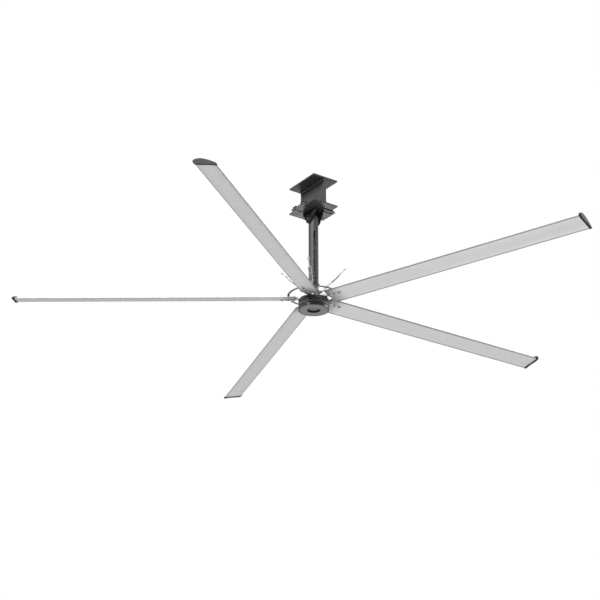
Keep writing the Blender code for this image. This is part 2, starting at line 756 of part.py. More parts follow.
def guy_stud():
    """The jaw block and swivel stud that stand on a lug, along +X."""
    block = box((JAW_BASE, JAW_WIDTH, 2 * JAW_ROUND), (JAW_BASE / 2, 0, 0))
    head_start = SLEEVE_START + SLEEVE_END_BOSS + RUN_GAP
    head_end = head_start + SWIVEL_HEAD_THICK
    swivel = [
        (0, head_end), (SWIVEL_HEAD, head_end), (SWIVEL_HEAD, head_start), (SWIVEL_SHANK, head_start),
        (SWIVEL_SHANK, JAW_BASE / 2), (0, JAW_BASE / 2),
    ]
    stud = turned(swivel, SHANK_STEPS, ring=False)
    return joined(block, moved(stud, Matrix.Rotation(math.pi / 2, 4, "Y")))


def guy_frame(azimuth, height):
    """A frame at a lug's middle with X along its turnbuckle."""
    return around(azimuth, GUY_PIN_RADIUS, height) @ Matrix.Rotation(-math.radians(GUY_SLOPE), 4, "Y")


def make_flange_bolts(tilt):
    top = COUPLING_BOTTOM + COUPLING_FLANGE_THICK + SEAT_GAP
    under = SHAFT_TOP - SHAFT_FLANGE_THICK - SEAT_GAP
    grip = top - under
    bolt = hex_bolt(FLANGE_SHANK, grip + FLANGE_NUT + FLANGE_BOLT_END, FLANGE_HEX, FLANGE_HEAD)
    bolt = joined(bolt, cylinder(FLANGE_HEX, -grip - FLANGE_NUT, -grip, HEX_SIDES))
    for i in range(FLANGE_BOLTS):
        turn = 2 * math.pi * i / FLANGE_BOLTS
        spot = (FLANGE_BOLT_CIRCLE * math.cos(turn), FLANGE_BOLT_CIRCLE * math.sin(turn), top - PIVOT_Z)
        add(f"flange_bolt_{i + 1}", bolt.copy(), BOLT_ZINC, tilt, spot, (0, 0, turn))


def make_turnbuckle(index, tilt):
    azimuth = math.radians(guy_azimuths()[index])
    spot = (GUY_PIN_RADIUS * math.cos(azimuth), GUY_PIN_RADIUS * math.sin(azimuth), GUY_PIN_Z - PIVOT_Z)
    axis = empty(f"guy_axis_{index + 1}", tilt, spot, (0, -math.radians(GUY_SLOPE), azimuth))
    along = Matrix.Rotation(math.pi / 2, 4, "Y")
    half = SLEEVE_HALF_WIDTH
    window = (SLEEVE_START + SLEEVE_END_BOSS, SLEEVE_END - SLEEVE_END_BOSS)
    outlines = [
        rounded_box((SLEEVE_START, -half), (SLEEVE_END, half), SLEEVE_CORNER),
        rounded_box((window[0], -SLEEVE_WINDOW), (window[1], SLEEVE_WINDOW), WINDOW_CORNER),
    ]
    sleeve = prism(outlines, SLEEVE_THICK)
    bore = cylinder(EYE_SHANK + HOLE_GAP, SLEEVE_START - THROUGH, SLEEVE_END + THROUGH, SHANK_STEPS + 2)
    sleeve = cut(sleeve, moved(bore, along))
    add(f"turnbuckle_sleeve_{index + 1}", sleeve, GALVANISED_SLEEVE, axis)
    eye = prism([circle(EYE_OUTER, SMALL_STEPS), circle(EYE_HOLE, SHANK_STEPS + 2)], EYE_THICK)
    eye = moved(eye, Matrix.Translation((EYE_CENTRE, 0, 0)))
    shank = cylinder(EYE_SHANK, EYE_SHANK_START, EYE_CENTRE - EYE_OUTER + EYE_ROOT, SHANK_STEPS + 2)
    eye = joined(eye, moved(shank, along))
    add(f"guy_eye_{index + 1}", eye, GALVANISED_EYE, axis)


def make_shaft(tilt):
    top = SHAFT_TOP - HUB_TOP
    upper = -UPPER_BEARING_DEPTH + SEAT_GAP
    carrier = -UPPER_BEARING_DEPTH - UPPER_BEARING_HEIGHT
    nut_low = -CARRIER_HUB_BOTTOM - SEAT_GAP - SHAFT_NUT_THICK
    profile = [
        (SHAFT_BORE, top), (SHAFT_FLANGE, top), (SHAFT_FLANGE, top - SHAFT_FLANGE_THICK),
        (SHAFT_RADIUS, top - SHAFT_FLANGE_THICK), (SHAFT_RADIUS, SHAFT_SHOULDER_RISE),
        (SHOULDER_SEAT, SHAFT_SHOULDER_RISE), (SHOULDER_SEAT, upper), (UPPER_SEAT, upper), (UPPER_SEAT, carrier),
        (CARRIER_SEAT, carrier), (CARRIER_SEAT, nut_low - SEAT_GAP), (LOWER_SEAT, nut_low - SEAT_GAP),
        (LOWER_SEAT, -SHAFT_END_DEPTH), (0, -SHAFT_END_DEPTH), (0, -SHAFT_BORE_DEPTH), (SHAFT_BORE, -SHAFT_BORE_DEPTH),
    ]
    mesh = turned(profile, TUBE_STEPS)
    mesh = cut(mesh, *[moved(hole, Matrix.Translation((0, 0, top))) for hole in flange_holes(-SHAFT_FLANGE_THICK, 0)])
    mesh = cut(mesh, cable_hole())
    add("motor_shaft", mesh, SHAFT_STEEL, tilt, (0, 0, HUB_TOP - PIVOT_Z))


def cable_hole():
    """The way of the motor's leads out of the shaft's bore, along +X."""
    hole = cylinder(CABLE_HOLE, 0, CARRIER_HUB + THROUGH, SHANK_STEPS)
    return moved(hole, Matrix.Translation((0, 0, -CABLE_HOLE_DEPTH)) @ Matrix.Rotation(math.pi / 2, 4, "Y"))


def make_stator(tilt):
    spot = (0, 0, HUB_TOP - PIVOT_Z)
    bore = CARRIER_SEAT + HOLE_GAP
    top = -UPPER_BEARING_DEPTH - UPPER_BEARING_HEIGHT - SEAT_GAP
    web_top = -CARRIER_WEB_TOP
    web_low = web_top - CARRIER_WEB
    profile = [
        (bore, top), (CARRIER_TOP_RADIUS, top), (CARRIER_TOP_RADIUS, -CARRIER_TOP_STEP), (CARRIER_HUB, -CARRIER_TOP_STEP),
        (CARRIER_HUB, web_top), (CARRIER_RIM_IN, web_top), (CARRIER_RIM_IN, -CARRIER_RIM_TOP),
        (CARRIER_RIM, -CARRIER_RIM_TOP), (CARRIER_RIM, -CARRIER_RIM_BOTTOM), (CARRIER_RIM_IN, -CARRIER_RIM_BOTTOM),
        (CARRIER_RIM_IN, web_low), (CARRIER_HUB, web_low), (CARRIER_HUB, -CARRIER_HUB_BOTTOM),
        (bore, -CARRIER_HUB_BOTTOM),
    ]
    carrier = cut(turned(profile, TUBE_STEPS), cable_hole())
    add("stator_carrier", carrier, CAST_ALUMINIUM, tilt, spot)
    add("stator_core", stator_core(), CORE_STEEL, tilt, spot)
    add("stator_windings", stator_windings(), COPPER, tilt, spot)


def stator_core():
    outline = []
    root = math.sqrt(STATOR_YOKE**2 - TOOTH_HALF**2)
    tip = math.sqrt(STATOR_RADIUS**2 - TOOTH_TIP_HALF**2)
    neck = tip - TOOTH_TIP
    for i in range(STATOR_TEETH):
        turn = 2 * math.pi * i / STATOR_TEETH
        tooth = [
            (root, -TOOTH_HALF), (neck, -TOOTH_HALF), (neck, -TOOTH_TIP_HALF), (tip, -TOOTH_TIP_HALF),
            (STATOR_RADIUS, 0), (tip, TOOTH_TIP_HALF), (neck, TOOTH_TIP_HALF), (neck, TOOTH_HALF), (root, TOOTH_HALF),
        ]
        for out, side in tooth:
            x = out * math.cos(turn) - side * math.sin(turn)
            y = out * math.sin(turn) + side * math.cos(turn)
            outline.append((x, y))
    mesh = prism([outline, circle(CARRIER_RIM + HOLE_GAP, TUBE_STEPS)], STATOR_BOTTOM - STATOR_TOP)
    return moved(mesh, Matrix.Translation((0, 0, -(STATOR_BOTTOM + STATOR_TOP) / 2)))


def stator_windings():
    """The coils as one solid: a ring over the teeth, a ring under them and a filled slot between each two teeth."""
    rings = []
    for low, high in ((-COIL_BOTTOM, -STATOR_BOTTOM - HOLE_GAP), (-STATOR_TOP + HOLE_GAP, -COIL_TOP)):
        profile = [(COIL_INNER, high), (COIL_OUTER, high), (COIL_OUTER, low), (COIL_INNER, low)]
        rings.append(turned(profile, STATOR_TEETH * 2))
    mesh = rings[0]
    step = 360 / STATOR_TEETH
    half_in = COIL_INNER * math.sin(math.radians(step / 2)) - TOOTH_HALF - HOLE_GAP
    half_out = COIL_OUTER * math.sin(math.radians(step / 2)) - TOOTH_HALF - HOLE_GAP
    inner = COIL_INNER + HOLE_GAP
    outer = COIL_OUTER - HOLE_GAP
    section = [(inner, -half_in), (outer, -half_out), (outer, half_out), (inner, half_in)]
    bar = prism([section], COIL_BOTTOM - COIL_TOP - 2 * COIL_OVERLAP)
    middle = -(COIL_BOTTOM + COIL_TOP) / 2
    for i in range(STATOR_TEETH):
        mesh = joined(mesh, moved(bar.copy(), around(step * (i + 0.5), 0, middle)))
    return joined(mesh, rings[1])


def make_bearings(rotor):
    for name, seat, radius, depth, height in (
        ("upper_bearing", UPPER_SEAT, UPPER_BEARING_RADIUS, UPPER_BEARING_DEPTH, UPPER_BEARING_HEIGHT),
        ("lower_bearing", LOWER_SEAT, LOWER_BEARING_RADIUS, LOWER_BEARING_DEPTH, LOWER_BEARING_HEIGHT),
    ):
        inner = seat + BEARING_RUN
        outer = radius - HOLE_GAP
        wall = (outer - inner) * BEARING_RACE_SHARE
        top = -depth
        dip = top - BEARING_SHIELD
        profile = [
            (inner, top), (inner + wall, top), (inner + wall, dip), (outer - wall, dip), (outer - wall, top), (outer, top),
            (outer, top - height), (inner, top - height),
        ]
        add(name, turned(profile, TUBE_STEPS), BEARING_STEEL, rotor)


def make_shaft_nut(tilt):
    hole = circle(CARRIER_SEAT + HOLE_GAP, TUBE_STEPS)
    mesh = prism([circle(SHAFT_NUT_RADIUS, TUBE_STEPS), hole], SHAFT_NUT_THICK)
    low = -CARRIER_HUB_BOTTOM - SEAT_GAP - SHAFT_NUT_THICK / 2
    add("shaft_nut", mesh, NUT_STEEL, tilt, (0, 0, HUB_TOP - PIVOT_Z + low))


def make_top_cover(rotor):
    seat = UPPER_BEARING_RADIUS
    lip = -UPPER_BEARING_DEPTH + SEAT_GAP
    edge = TOP_EDGE_CHAMFER
    profile = [
        (TOP_LIP, 0), (HUB_RADIUS - edge, 0), (HUB_RADIUS, -edge), (HUB_RADIUS, -TOP_COVER_THICK),
        (TOP_BOSS_RADIUS, -TOP_COVER_THICK), (TOP_BOSS_RADIUS, -TOP_BOSS_DEPTH), (seat, -TOP_BOSS_DEPTH),
        (seat, lip), (TOP_LIP, lip),
    ]
    mesh = turned(profile, HUB_STEPS)
    depth = ARM_BOLT_DEPTH + RUN_GAP
    for azimuth in blade_azimuths():
        for radius in ARM_HUB_BOLTS:
            hole = cylinder(ARM_SHANK + HOLE_GAP, -depth, THROUGH, SHANK_STEPS)
            mesh = cut(mesh, moved(hole, around(azimuth, radius)))
    add("top_cover", mesh, HUB_GREY, rotor)


def make_drum(rotor):
    top = -TOP_COVER_THICK - SEAT_GAP
    profile = [(DRUM_INNER, top), (HUB_RADIUS, top), (HUB_RADIUS, -DRUM_DEPTH), (DRUM_INNER, -DRUM_DEPTH)]
    add("hub_drum", turned(profile, HUB_STEPS), HUB_SIDE_GREY, rotor)


def make_bottom_cover(rotor):
    low = -BOTTOM_DEPTH
    floor = low + RECESS_DEEP
    rim_top = -GROOVE_DEPTH
    recess_out = RECESS_RADIUS + RECESS_WALL
    seat = LOWER_BEARING_RADIUS
    ledge = -LOWER_BEARING_DEPTH - LOWER_BEARING_HEIGHT - SEAT_GAP
    top = -DRUM_DEPTH - SEAT_GAP
    profile = [
        (0, -BOTTOM_FLOOR_DEPTH), (LOWER_BEARING_SHOULDER, -BOTTOM_FLOOR_DEPTH), (LOWER_BEARING_SHOULDER, ledge),
        (seat, ledge), (seat, -BOTTOM_BOSS_TOP), (BOTTOM_BOSS, -BOTTOM_BOSS_TOP), (BOTTOM_BOSS, -BOTTOM_FLOOR_DEPTH),
        (recess_out, -BOTTOM_FLOOR_DEPTH), (recess_out, low + BOTTOM_SKIN), (DRUM_INNER, low + BOTTOM_SKIN),
        (DRUM_INNER, top), (GROOVE_RADIUS, top), (GROOVE_RADIUS, rim_top), (RIM_RADIUS, rim_top),
        (RIM_RADIUS, low + RIM_CHAMFER), (RIM_RADIUS - RIM_CHAMFER, low), (RECESS_RADIUS, low),
        (RECESS_RADIUS, floor), (0, floor),
    ]
    add("bottom_cover", turned(profile, HUB_STEPS, ring=False), COVER_GREY, rotor)


def make_magnets(rotor):
    """The magnets on the inside of a thin back ring, as one solid."""
    outer = DRUM_INNER - SEAT_GAP
    face = outer - MAGNET_BACK
    step = 360 / MAGNETS
    half = step * MAGNET_SHARE / 2
    rest = (step - 2 * half) / 2
    inner = []
    for i in range(MAGNETS):
        middle = step * i
        inner += arc((0, 0), face - MAGNET_THICK, middle - half, middle + half, 2)
        inner += arc((0, 0), face, middle + half, middle + half + 2 * rest, 1)
    mesh = prism([circle(outer, HUB_STEPS), inner], MAGNET_BOTTOM - MAGNET_TOP)
    add("rotor_magnets", mesh, MAGNET_NICKEL, rotor, (0, 0, -(MAGNET_BOTTOM + MAGNET_TOP) / 2))


def blade_azimuths():
    return [FIRST_BLADE + 360 * i / BLADES for i in range(BLADES)]


def share_height(shares, share):
    """Height of a blade surface at a share of the chord, on straight lines between the outline's points."""
    points = sorted(shares)
    for (before, low), (after, high) in zip(points, points[1:]):
        if before <= share <= after:
            return CHORD * (low + (high - low) * (share - before) / (after - before))
    return CHORD * points[-1][1]


def upper(across):
    return share_height(UPPER_SHARES, (across + SPAR_FROM_NOSE) / CHORD)


def lower(across):
    return share_height(LOWER_SHARES + ((0, 0),), (across + SPAR_FROM_NOSE) / CHORD)


def chord_place(share):
    return CHORD * share - SPAR_FROM_NOSE


def cavity(shares):
    roof = [(chord_place(s), share_height(UPPER_SHARES, s) - SKIN) for s in shares]
    floor = [(chord_place(s), share_height(LOWER_SHARES, s) + SKIN) for s in reversed(shares)]
    return roof + floor


def in_blade_frame():
    """From the blade's own frame, pitched about its spar, to the level frame of its arm."""
    return Matrix.Translation((0, 0, CHORD_RISE)) @ Matrix.Rotation(-BLADE_PITCH, 4, "X")


def blade_mesh():
    outline = [(chord_place(s), CHORD * h) for s, h in UPPER_SHARES + LOWER_SHARES]
    half = ARM_WIDTH / 2 + HOLE_GAP
    low = ARM_RISE - ARM_THICK / 2 - HOLE_GAP
    high = ARM_RISE + ARM_THICK / 2 + HOLE_GAP
    duct = [(-half, low), (half, low), (half, high), (-half, high)]
    outlines = [outline, duct, cavity(FRONT_CAVITY_SHARES), cavity(REAR_CAVITY_SHARES)]
    mesh = prism(outlines, BLADE_TIP - BLADE_ROOT, "YZ")
    mesh = moved(mesh, Matrix.Translation(((BLADE_TIP + BLADE_ROOT) / 2, 0, 0)))
    for radius in BLADE_BOLTS:
        hole = cylinder(ARM_SHANK + HOLE_GAP, lower(0) - THROUGH, upper(0) + THROUGH, SHANK_STEPS)
        mesh = cut(mesh, moved(hole, Matrix.Translation((radius, 0, 0))))
    return mesh


def bar_section(radius, share):
    """The arm's four-sided section at a radius, level at share 0 and in the blade's pitch at share 1."""
    level = SEAT_GAP + ARM_THICK / 2
    turn = -BLADE_PITCH * share
    pitched = in_blade_frame() @ Vector((0, 0, ARM_RISE))
    centre_y = pitched.y * share
    centre_z = level + (pitched.z - level) * share
    width = ARM_WIDTH / 2
    thick = ARM_THICK / 2
    corners = ((width, -thick), (width, thick), (-width, thick), (-width, -thick))
    points = []
    for across, up in corners:
        y = centre_y + across * math.cos(turn) - up * math.sin(turn)
        z = centre_z + across * math.sin(turn) + up * math.cos(turn)
        points.append((radius, y, z))
    return points


def arm_mesh():
    sections = [bar_section(ARM_START, 0)]
    for i in range(ARM_TWIST_STEPS + 1):
        share = i / ARM_TWIST_STEPS
        eased = share * share * (3 - 2 * share)
        sections.append(bar_section(ARM_TWIST_START + (ARM_TWIST_END - ARM_TWIST_START) * share, eased))
    sections.append(bar_section(ARM_END, 1))
    mesh = loft(sections)
    for radius in BLADE_BOLTS:
        hole = cylinder(ARM_SHANK + HOLE_GAP, -THROUGH, ARM_RISE + ARM_THICK, SHANK_STEPS)
        mesh = cut(mesh, moved(hole, in_blade_frame() @ Matrix.Translation((radius, 0, 0))))
    return mesh


def make_arms(rotor):
    arm = arm_mesh()
    top = ARM_THICK + SEAT_GAP
    for radius in ARM_HUB_BOLTS:
        head = cylinder(ARM_HEX, top - WELD, top + ARM_HEAD, HEX_SIDES)
        shank = cylinder(ARM_SHANK, -ARM_BOLT_DEPTH, ARM_THICK / 2, SHANK_STEPS)
        spot = Matrix.Translation((radius, 0, 0))
        arm = joined(arm, moved(head, spot), moved(shank, spot))
    for i, azimuth in enumerate(blade_azimuths()):
        add(f"blade_arm_{i + 1}", arm.copy(), ARM_STEEL, rotor, (0, 0, 0), (0, 0, math.radians(azimuth)))


def make_blades(rotor):
    blade = blade_mesh()
    for i, azimuth in enumerate(blade_azimuths()):
        turn = (-BLADE_PITCH, 0, math.radians(azimuth))
        add(f"blade_{i + 1}", blade.copy(), BLADE_ALUMINIUM, rotor, (0, 0, CHORD_RISE), turn)


def make_tip_caps(rotor):
    cap = prism([[(-along, height) for along, height in CAP_OUTLINE]], CAP_THICK, "YZ")
    cap = moved(cap, Matrix.Translation((BLADE_TIP + SEAT_GAP + CAP_THICK / 2, 0, 0)))
    for i, azimuth in enumerate(blade_azimuths()):
        add(f"tip_cap_{i + 1}", cap.copy(), CAP_PLASTIC, rotor, (0, 0, 0), (0, 0, math.radians(azimuth)))


def blade_frame(azimuth, radius):
    """A frame in a blade's pitch, at a radius on its spar."""
    return around(azimuth) @ in_blade_frame() @ Matrix.Translation((radius, 0, 0))


def ring_low():
    """Height of the ring's underside over the hub's top face, just clear of the blades' highest line."""
    sine = math.sin(BLADE_PITCH)
    cosine = math.cos(BLADE_PITCH)
    highest = max(CHORD * h * cosine - chord_place(s) * sine for s, h in UPPER_SHARES)
    return CHORD_RISE + highest + RING_CLEAR


def level_line(height, across):
    """Height in the blade's frame of a level plane, at a place across the blade."""
    return (height - CHORD_RISE + across * math.sin(BLADE_PITCH)) / math.cos(BLADE_PITCH)


def ring_nut_seat():
    """Height in the blade's frame of the seat on top of the upper wedge."""
    return level_line(ring_low() + RING_THICK + SEAT_GAP, WEDGE_HALF) + WEDGE_LEAST


def make_strips(rotor):
    half = STRIP_WIDTH / 2
    under = lower(0) - SEAT_GAP - STRIP_THICK
    section = [(-half, under), (half, under), (half, lower(half) - SEAT_GAP), (0, lower(0) - SEAT_GAP),
               (-half, lower(-half) - SEAT_GAP)]
    strip = prism([section], STRIP_END - STRIP_START, "YZ")
    strip = moved(strip, Matrix.Translation(((STRIP_START + STRIP_END) / 2, 0, 0)))
    for radius in BLADE_BOLTS:
        seat = ring_nut_seat() if radius == RING_BOLT else upper(0)
        seat += SEAT_GAP
        top = seat + BLADE_NUT
        bolt = cylinder(ARM_SHANK, under - ARM_HEAD / 2, top + BLADE_BOLT_END, SHANK_STEPS)
        head = cylinder(ARM_HEX, under - ARM_HEAD, under + WELD, HEX_SIDES)
        bolt = joined(bolt, head, cylinder(ARM_HEX, seat, top, HEX_SIDES))
        strip = joined(strip, moved(bolt, Matrix.Translation((radius, 0, 0))))
    for i, azimuth in enumerate(blade_azimuths()):
        turn = (-BLADE_PITCH, 0, math.radians(azimuth))
        add(f"blade_bolt_strip_{i + 1}", strip.copy(), STRIP_DARK, rotor, (0, 0, CHORD_RISE), turn)


def make_ring(rotor):
    """The flat ring with a wedge block at each blade, shaped to the blade below and square to the bolt above."""
    edges = (RING_BOLT + RING_WIDTH / 2, RING_BOLT - RING_WIDTH / 2)
    mesh = prism([circle(radius, RING_STEPS) for radius in edges], RING_THICK)
    mesh = moved(mesh, Matrix.Translation((0, 0, ring_low() + RING_THICK / 2)))
    half = WEDGE_HALF
    top = ring_nut_seat()
    outline = [(-half, upper(-half) + SEAT_GAP), (0, upper(0) + SEAT_GAP), (half, upper(half) + SEAT_GAP)]
    outline += [(half, top), (-half, top)]
    block = prism([outline], 2 * WEDGE_LENGTH, "YZ")
    for azimuth in blade_azimuths():
        frame = blade_frame(azimuth, RING_BOLT)
        mesh = joined(mesh, moved(block.copy(), frame))
        hole = cylinder(ARM_SHANK + HOLE_GAP, 0, top + THROUGH, SHANK_STEPS)
        mesh = cut(mesh, moved(hole, frame))
    add("safety_ring", mesh, RING_STEEL, rotor)


clear_scene()
FAN = named_collection("hvls_fan")

STEEL_GREY = material("beam_steel", (0.20, 0.20, 0.20), 0.55, 0.3)
PLATE_GREY = material("plate_paint", (0.19, 0.19, 0.19), 0.5, 0.3)
CLAMP_ZINC = material("clamp_zinc", (0.45, 0.45, 0.46), 0.45, 0.8)
BOLT_ZINC = material("bolt_zinc", (0.50, 0.50, 0.51), 0.35, 0.9)
NUT_ZINC = material("nut_zinc", (0.60, 0.60, 0.61), 0.35, 0.9)
PIVOT_ZINC = material("pivot_zinc", (0.25, 0.25, 0.26), 0.4, 0.8)
DARK_SCREW = material("dark_screw", (0.06, 0.06, 0.06), 0.4, 0.7)
NUT_STEEL = material("nut_steel", (0.40, 0.40, 0.41), 0.35, 0.9)
BLACK_PAINT = material("black_paint", (0.02, 0.02, 0.02), 0.5, 0.1)
SLEEVE_STEEL = material("sleeve_steel", (0.45, 0.45, 0.46), 0.35, 0.9)
ROD_GREY = material("rod_paint", (0.16, 0.16, 0.16), 0.45, 0.3)
COUPLING_GREY = material("coupling_paint", (0.13, 0.13, 0.13), 0.45, 0.4)
BRACKET_GREY = material("bracket_paint", (0.14, 0.14, 0.14), 0.5, 0.3)
GALVANISED_SLEEVE = material("sleeve_galvanised", (0.40, 0.40, 0.41), 0.5, 0.7)
GALVANISED_EYE = material("eye_galvanised", (0.44, 0.44, 0.45), 0.45, 0.7)
SHAFT_STEEL = material("shaft_steel", (0.30, 0.30, 0.31), 0.35, 0.9)
CAST_ALUMINIUM = material("carrier_aluminium", (0.55, 0.55, 0.56), 0.5, 0.8)
CORE_STEEL = material("core_steel", (0.30, 0.30, 0.32), 0.5, 0.8)
COPPER = material("winding_copper", (0.60, 0.27, 0.12), 0.4, 0.9)
BEARING_STEEL = material("bearing_steel", (0.62, 0.62, 0.63), 0.2, 1.0)
MAGNET_NICKEL = material("magnet_nickel", (0.55, 0.54, 0.50), 0.3, 0.9)
HUB_GREY = material("top_cover_paint", (0.10, 0.10, 0.10), 0.45, 0.4)
HUB_SIDE_GREY = material("drum_paint", (0.08, 0.08, 0.08), 0.45, 0.4)
COVER_GREY = material("bottom_cover_paint", (0.18, 0.18, 0.18), 0.5, 0.4)
ARM_STEEL = material("arm_steel", (0.30, 0.30, 0.31), 0.45, 0.8)
BLADE_ALUMINIUM = material("blade_aluminium", (0.53, 0.54, 0.54), 0.4, 0.6)
CAP_PLASTIC = material("cap_plastic", (0.03, 0.03, 0.03), 0.5, 0.0)
STRIP_DARK = material("strip_paint", (0.04, 0.04, 0.04), 0.5, 0.2)
RING_STEEL = material("ring_steel", (0.15, 0.15, 0.15), 0.45, 0.5)

make_beam()
make_mount_plate()
make_clamps()
make_yoke()
make_pivot()

TILT = empty("tilt_axis", None, (0, 0, PIVOT_Z))
ROTOR = empty("rotor_axis", TILT, (0, 0, HUB_TOP - PIVOT_Z))
make_downrod(TILT)
make_pivot_sleeve(TILT)
make_coupling(TILT)
make_guy_bracket(TILT)
make_flange_bolts(TILT)
for number in range(GUY_COUNT):
    make_turnbuckle(number, TILT)
make_shaft(TILT)
make_stator(TILT)
make_shaft_nut(TILT)

make_drum(ROTOR)
make_top_cover(ROTOR)
make_bottom_cover(ROTOR)
make_magnets(ROTOR)
make_bearings(ROTOR)
make_arms(ROTOR)
make_blades(ROTOR)
make_tip_caps(ROTOR)
make_strips(ROTOR)
make_ring(ROTOR)
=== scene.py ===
import math

import bmesh
import bpy
import numpy as np
from mathutils import Matrix, Vector
from mathutils.geometry import tessellate_polygon


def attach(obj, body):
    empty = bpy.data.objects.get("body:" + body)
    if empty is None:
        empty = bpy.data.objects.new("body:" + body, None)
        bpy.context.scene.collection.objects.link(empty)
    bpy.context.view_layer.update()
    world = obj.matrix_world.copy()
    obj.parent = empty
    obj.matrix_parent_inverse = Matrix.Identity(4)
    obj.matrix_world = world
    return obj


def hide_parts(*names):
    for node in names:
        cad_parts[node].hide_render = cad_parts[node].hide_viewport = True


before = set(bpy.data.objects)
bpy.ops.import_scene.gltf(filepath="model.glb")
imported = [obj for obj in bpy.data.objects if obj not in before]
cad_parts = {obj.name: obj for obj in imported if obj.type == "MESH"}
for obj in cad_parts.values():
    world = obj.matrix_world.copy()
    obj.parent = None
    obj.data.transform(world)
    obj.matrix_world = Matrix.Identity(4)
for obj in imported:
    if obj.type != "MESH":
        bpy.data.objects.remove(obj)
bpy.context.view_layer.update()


# Camera, light and floor. The camera looks up from below and one side through a long lens. A pale floor under
# a white sky lights the fan from below, and four softboxes model the mount and the hub.
def shown(made):
    """The object itself, once it is in the scene's collection."""
    bpy.context.scene.collection.objects.link(made)
    return made


def node_kit(tree):
    """Two functions for a node tree: add(name, type, operation, socket=value, ...) adds a node and sets its
    values, and wire("node.output > node.input, ...", ...) joins sockets, given by their name or number."""

    def add(name, kind, operation=None, **values):
        node = tree.nodes.new("ShaderNode" + kind)
        node.name = name
        if operation:
            node.operation = operation
        for key, value in values.items():
            if hasattr(node, key):
                setattr(node, key, value)
            else:
                node.inputs[key.replace("_", " ")].default_value = value
        return node

    def socket(way, place):
        name, key = place.split(".")
        return getattr(tree.nodes[name], way)[int(key) if key.isdigit() else key]

    def wire(*links):
        for link in links:
            start, ends = link.split(" > ")
            for end in ends.split(", "):
                tree.links.new(socket("outputs", start), socket("inputs", end))

    return add, wire


camera = shown(bpy.data.objects.new("camera", bpy.data.cameras.new("camera")))
bpy.context.scene.camera = camera
camera.location = (11.5315, -8.3782, -7.508)
camera.rotation_euler = (math.radians(113.468), 0, math.radians(54.56))
camera.data.sensor_width = 36
camera.data.lens = 91.6
camera.data.clip_end = 200
bpy.context.scene.view_settings.view_transform = "Standard"

world = bpy.data.worlds.new("studio")
bpy.context.scene.world = world
world.use_nodes = True
world.node_tree.nodes.clear()
add, wire = node_kit(world.node_tree)
add("way", "TexCoord")
add("split", "SeparateXYZ")
low_sky, high_sky = add("dome", "ValToRGB").color_ramp.elements
low_sky.position, low_sky.color = 0.1, (0.05, 0.05, 0.052, 1)
high_sky.position, high_sky.color = 0.8, (1, 1, 1, 1)
add("sky", "Background", Strength=0.92)
add("backdrop", "Background", Strength=1.0, Color=(1, 1, 1, 1))
add("seen", "LightPath")
add("either", "MixShader")
add("world", "OutputWorld")
wire(
    "way.Generated > split.0", "split.Z > dome.0", "dome.0 > sky.0", "seen.Is Camera Ray > either.0",
    "sky.0 > either.1", "backdrop.0 > either.2", "either.0 > world.0",
)


def soft_light(name, at, aim, size, power):
    """A square softbox of a size and power, at a place and turned to another one."""
    lamp = shown(bpy.data.objects.new(name, bpy.data.lights.new(name, "AREA")))
    lamp.location = at
    lamp.rotation_euler = (Vector(aim) - Vector(at)).to_track_quat("-Z", "Y").to_euler()
    lamp.data.size = size
    lamp.data.energy = power
    lamp.visible_camera = False


soft_light("front_softbox", (2.4, -4.7, 2.0), (0, 0, -0.4), 2.8, 820)
soft_light("right_softbox", (2.6, 6.5, -0.2), (0, 0, -0.9), 2.6, 440)
soft_light("floor_softbox", (0, 0, -12.4), (0, 0.001, 0), 12.0, 400)
soft_light("under_softbox", (-0.86, 0.61, -1.02), (0, 0, -0.22), 0.34, 18)


def angles(count):
    """Evenly spaced angles round a circle."""
    return np.linspace(0, 2 * np.pi, count, endpoint=False)


def on_arc(radius, turns, x=0.0, y=0.0):
    """The points (x + r cos a, y + r sin a) at each angle a."""
    return np.column_stack([x + radius * np.cos(turns), y + radius * np.sin(turns)])


def level(line, z):
    """A flat line's points at one height."""
    return np.column_stack([line, np.full(len(line), z)])


def upright(x, heights):
    """Points at one place and several heights."""
    return np.column_stack([np.full(len(heights), x), heights])


FLOOR_Z, FLOOR_REACH, FLOOR_SIDES = -12.6, 70, 64
floor_mesh = bpy.data.meshes.new("floor")
floor_edge = level(on_arc(FLOOR_REACH, angles(FLOOR_SIDES)), FLOOR_Z)
floor_mesh.from_pydata(floor_edge.tolist(), [], [list(range(FLOOR_SIDES))])
floor = shown(bpy.data.objects.new("floor", floor_mesh))
pale = bpy.data.materials.new("pale_floor")
pale.use_nodes = True
matt = pale.node_tree.nodes["Principled BSDF"].inputs
matt["Base Color"].default_value = (0.92, 0.92, 0.92, 1)
matt["Roughness"].default_value = 0.9
add, wire = node_kit(pale.node_tree)
add("side", "NewGeometry")
add("through", "BsdfTransparent")
add("either", "MixShader")
wire(
    "side.Backfacing > either.0", "Principled BSDF.0 > either.1", "through.0 > either.2",
    "either.0 > Material Output.0",
)
floor_mesh.materials.append(pale)


# I-beam stub: a short piece of rolled H section, 305 mm wide and 308 mm deep, from which the fan hangs.
# Rolled steel with round fillets beside the web, sawn at both ends and painted a satin grey.
BEAM_LONG, BEAM_WIDE, BEAM_DEEP = 0.438, 0.305, 0.308
BEAM_FLANGE, BEAM_WEB, BEAM_FILLET, BEAM_EDGE = 0.0154, 0.0099, 0.0152, 0.0012
FILLET_MIDDLE, FILLET_HIGHLIGHT_WIDE = 0.004, 0.007


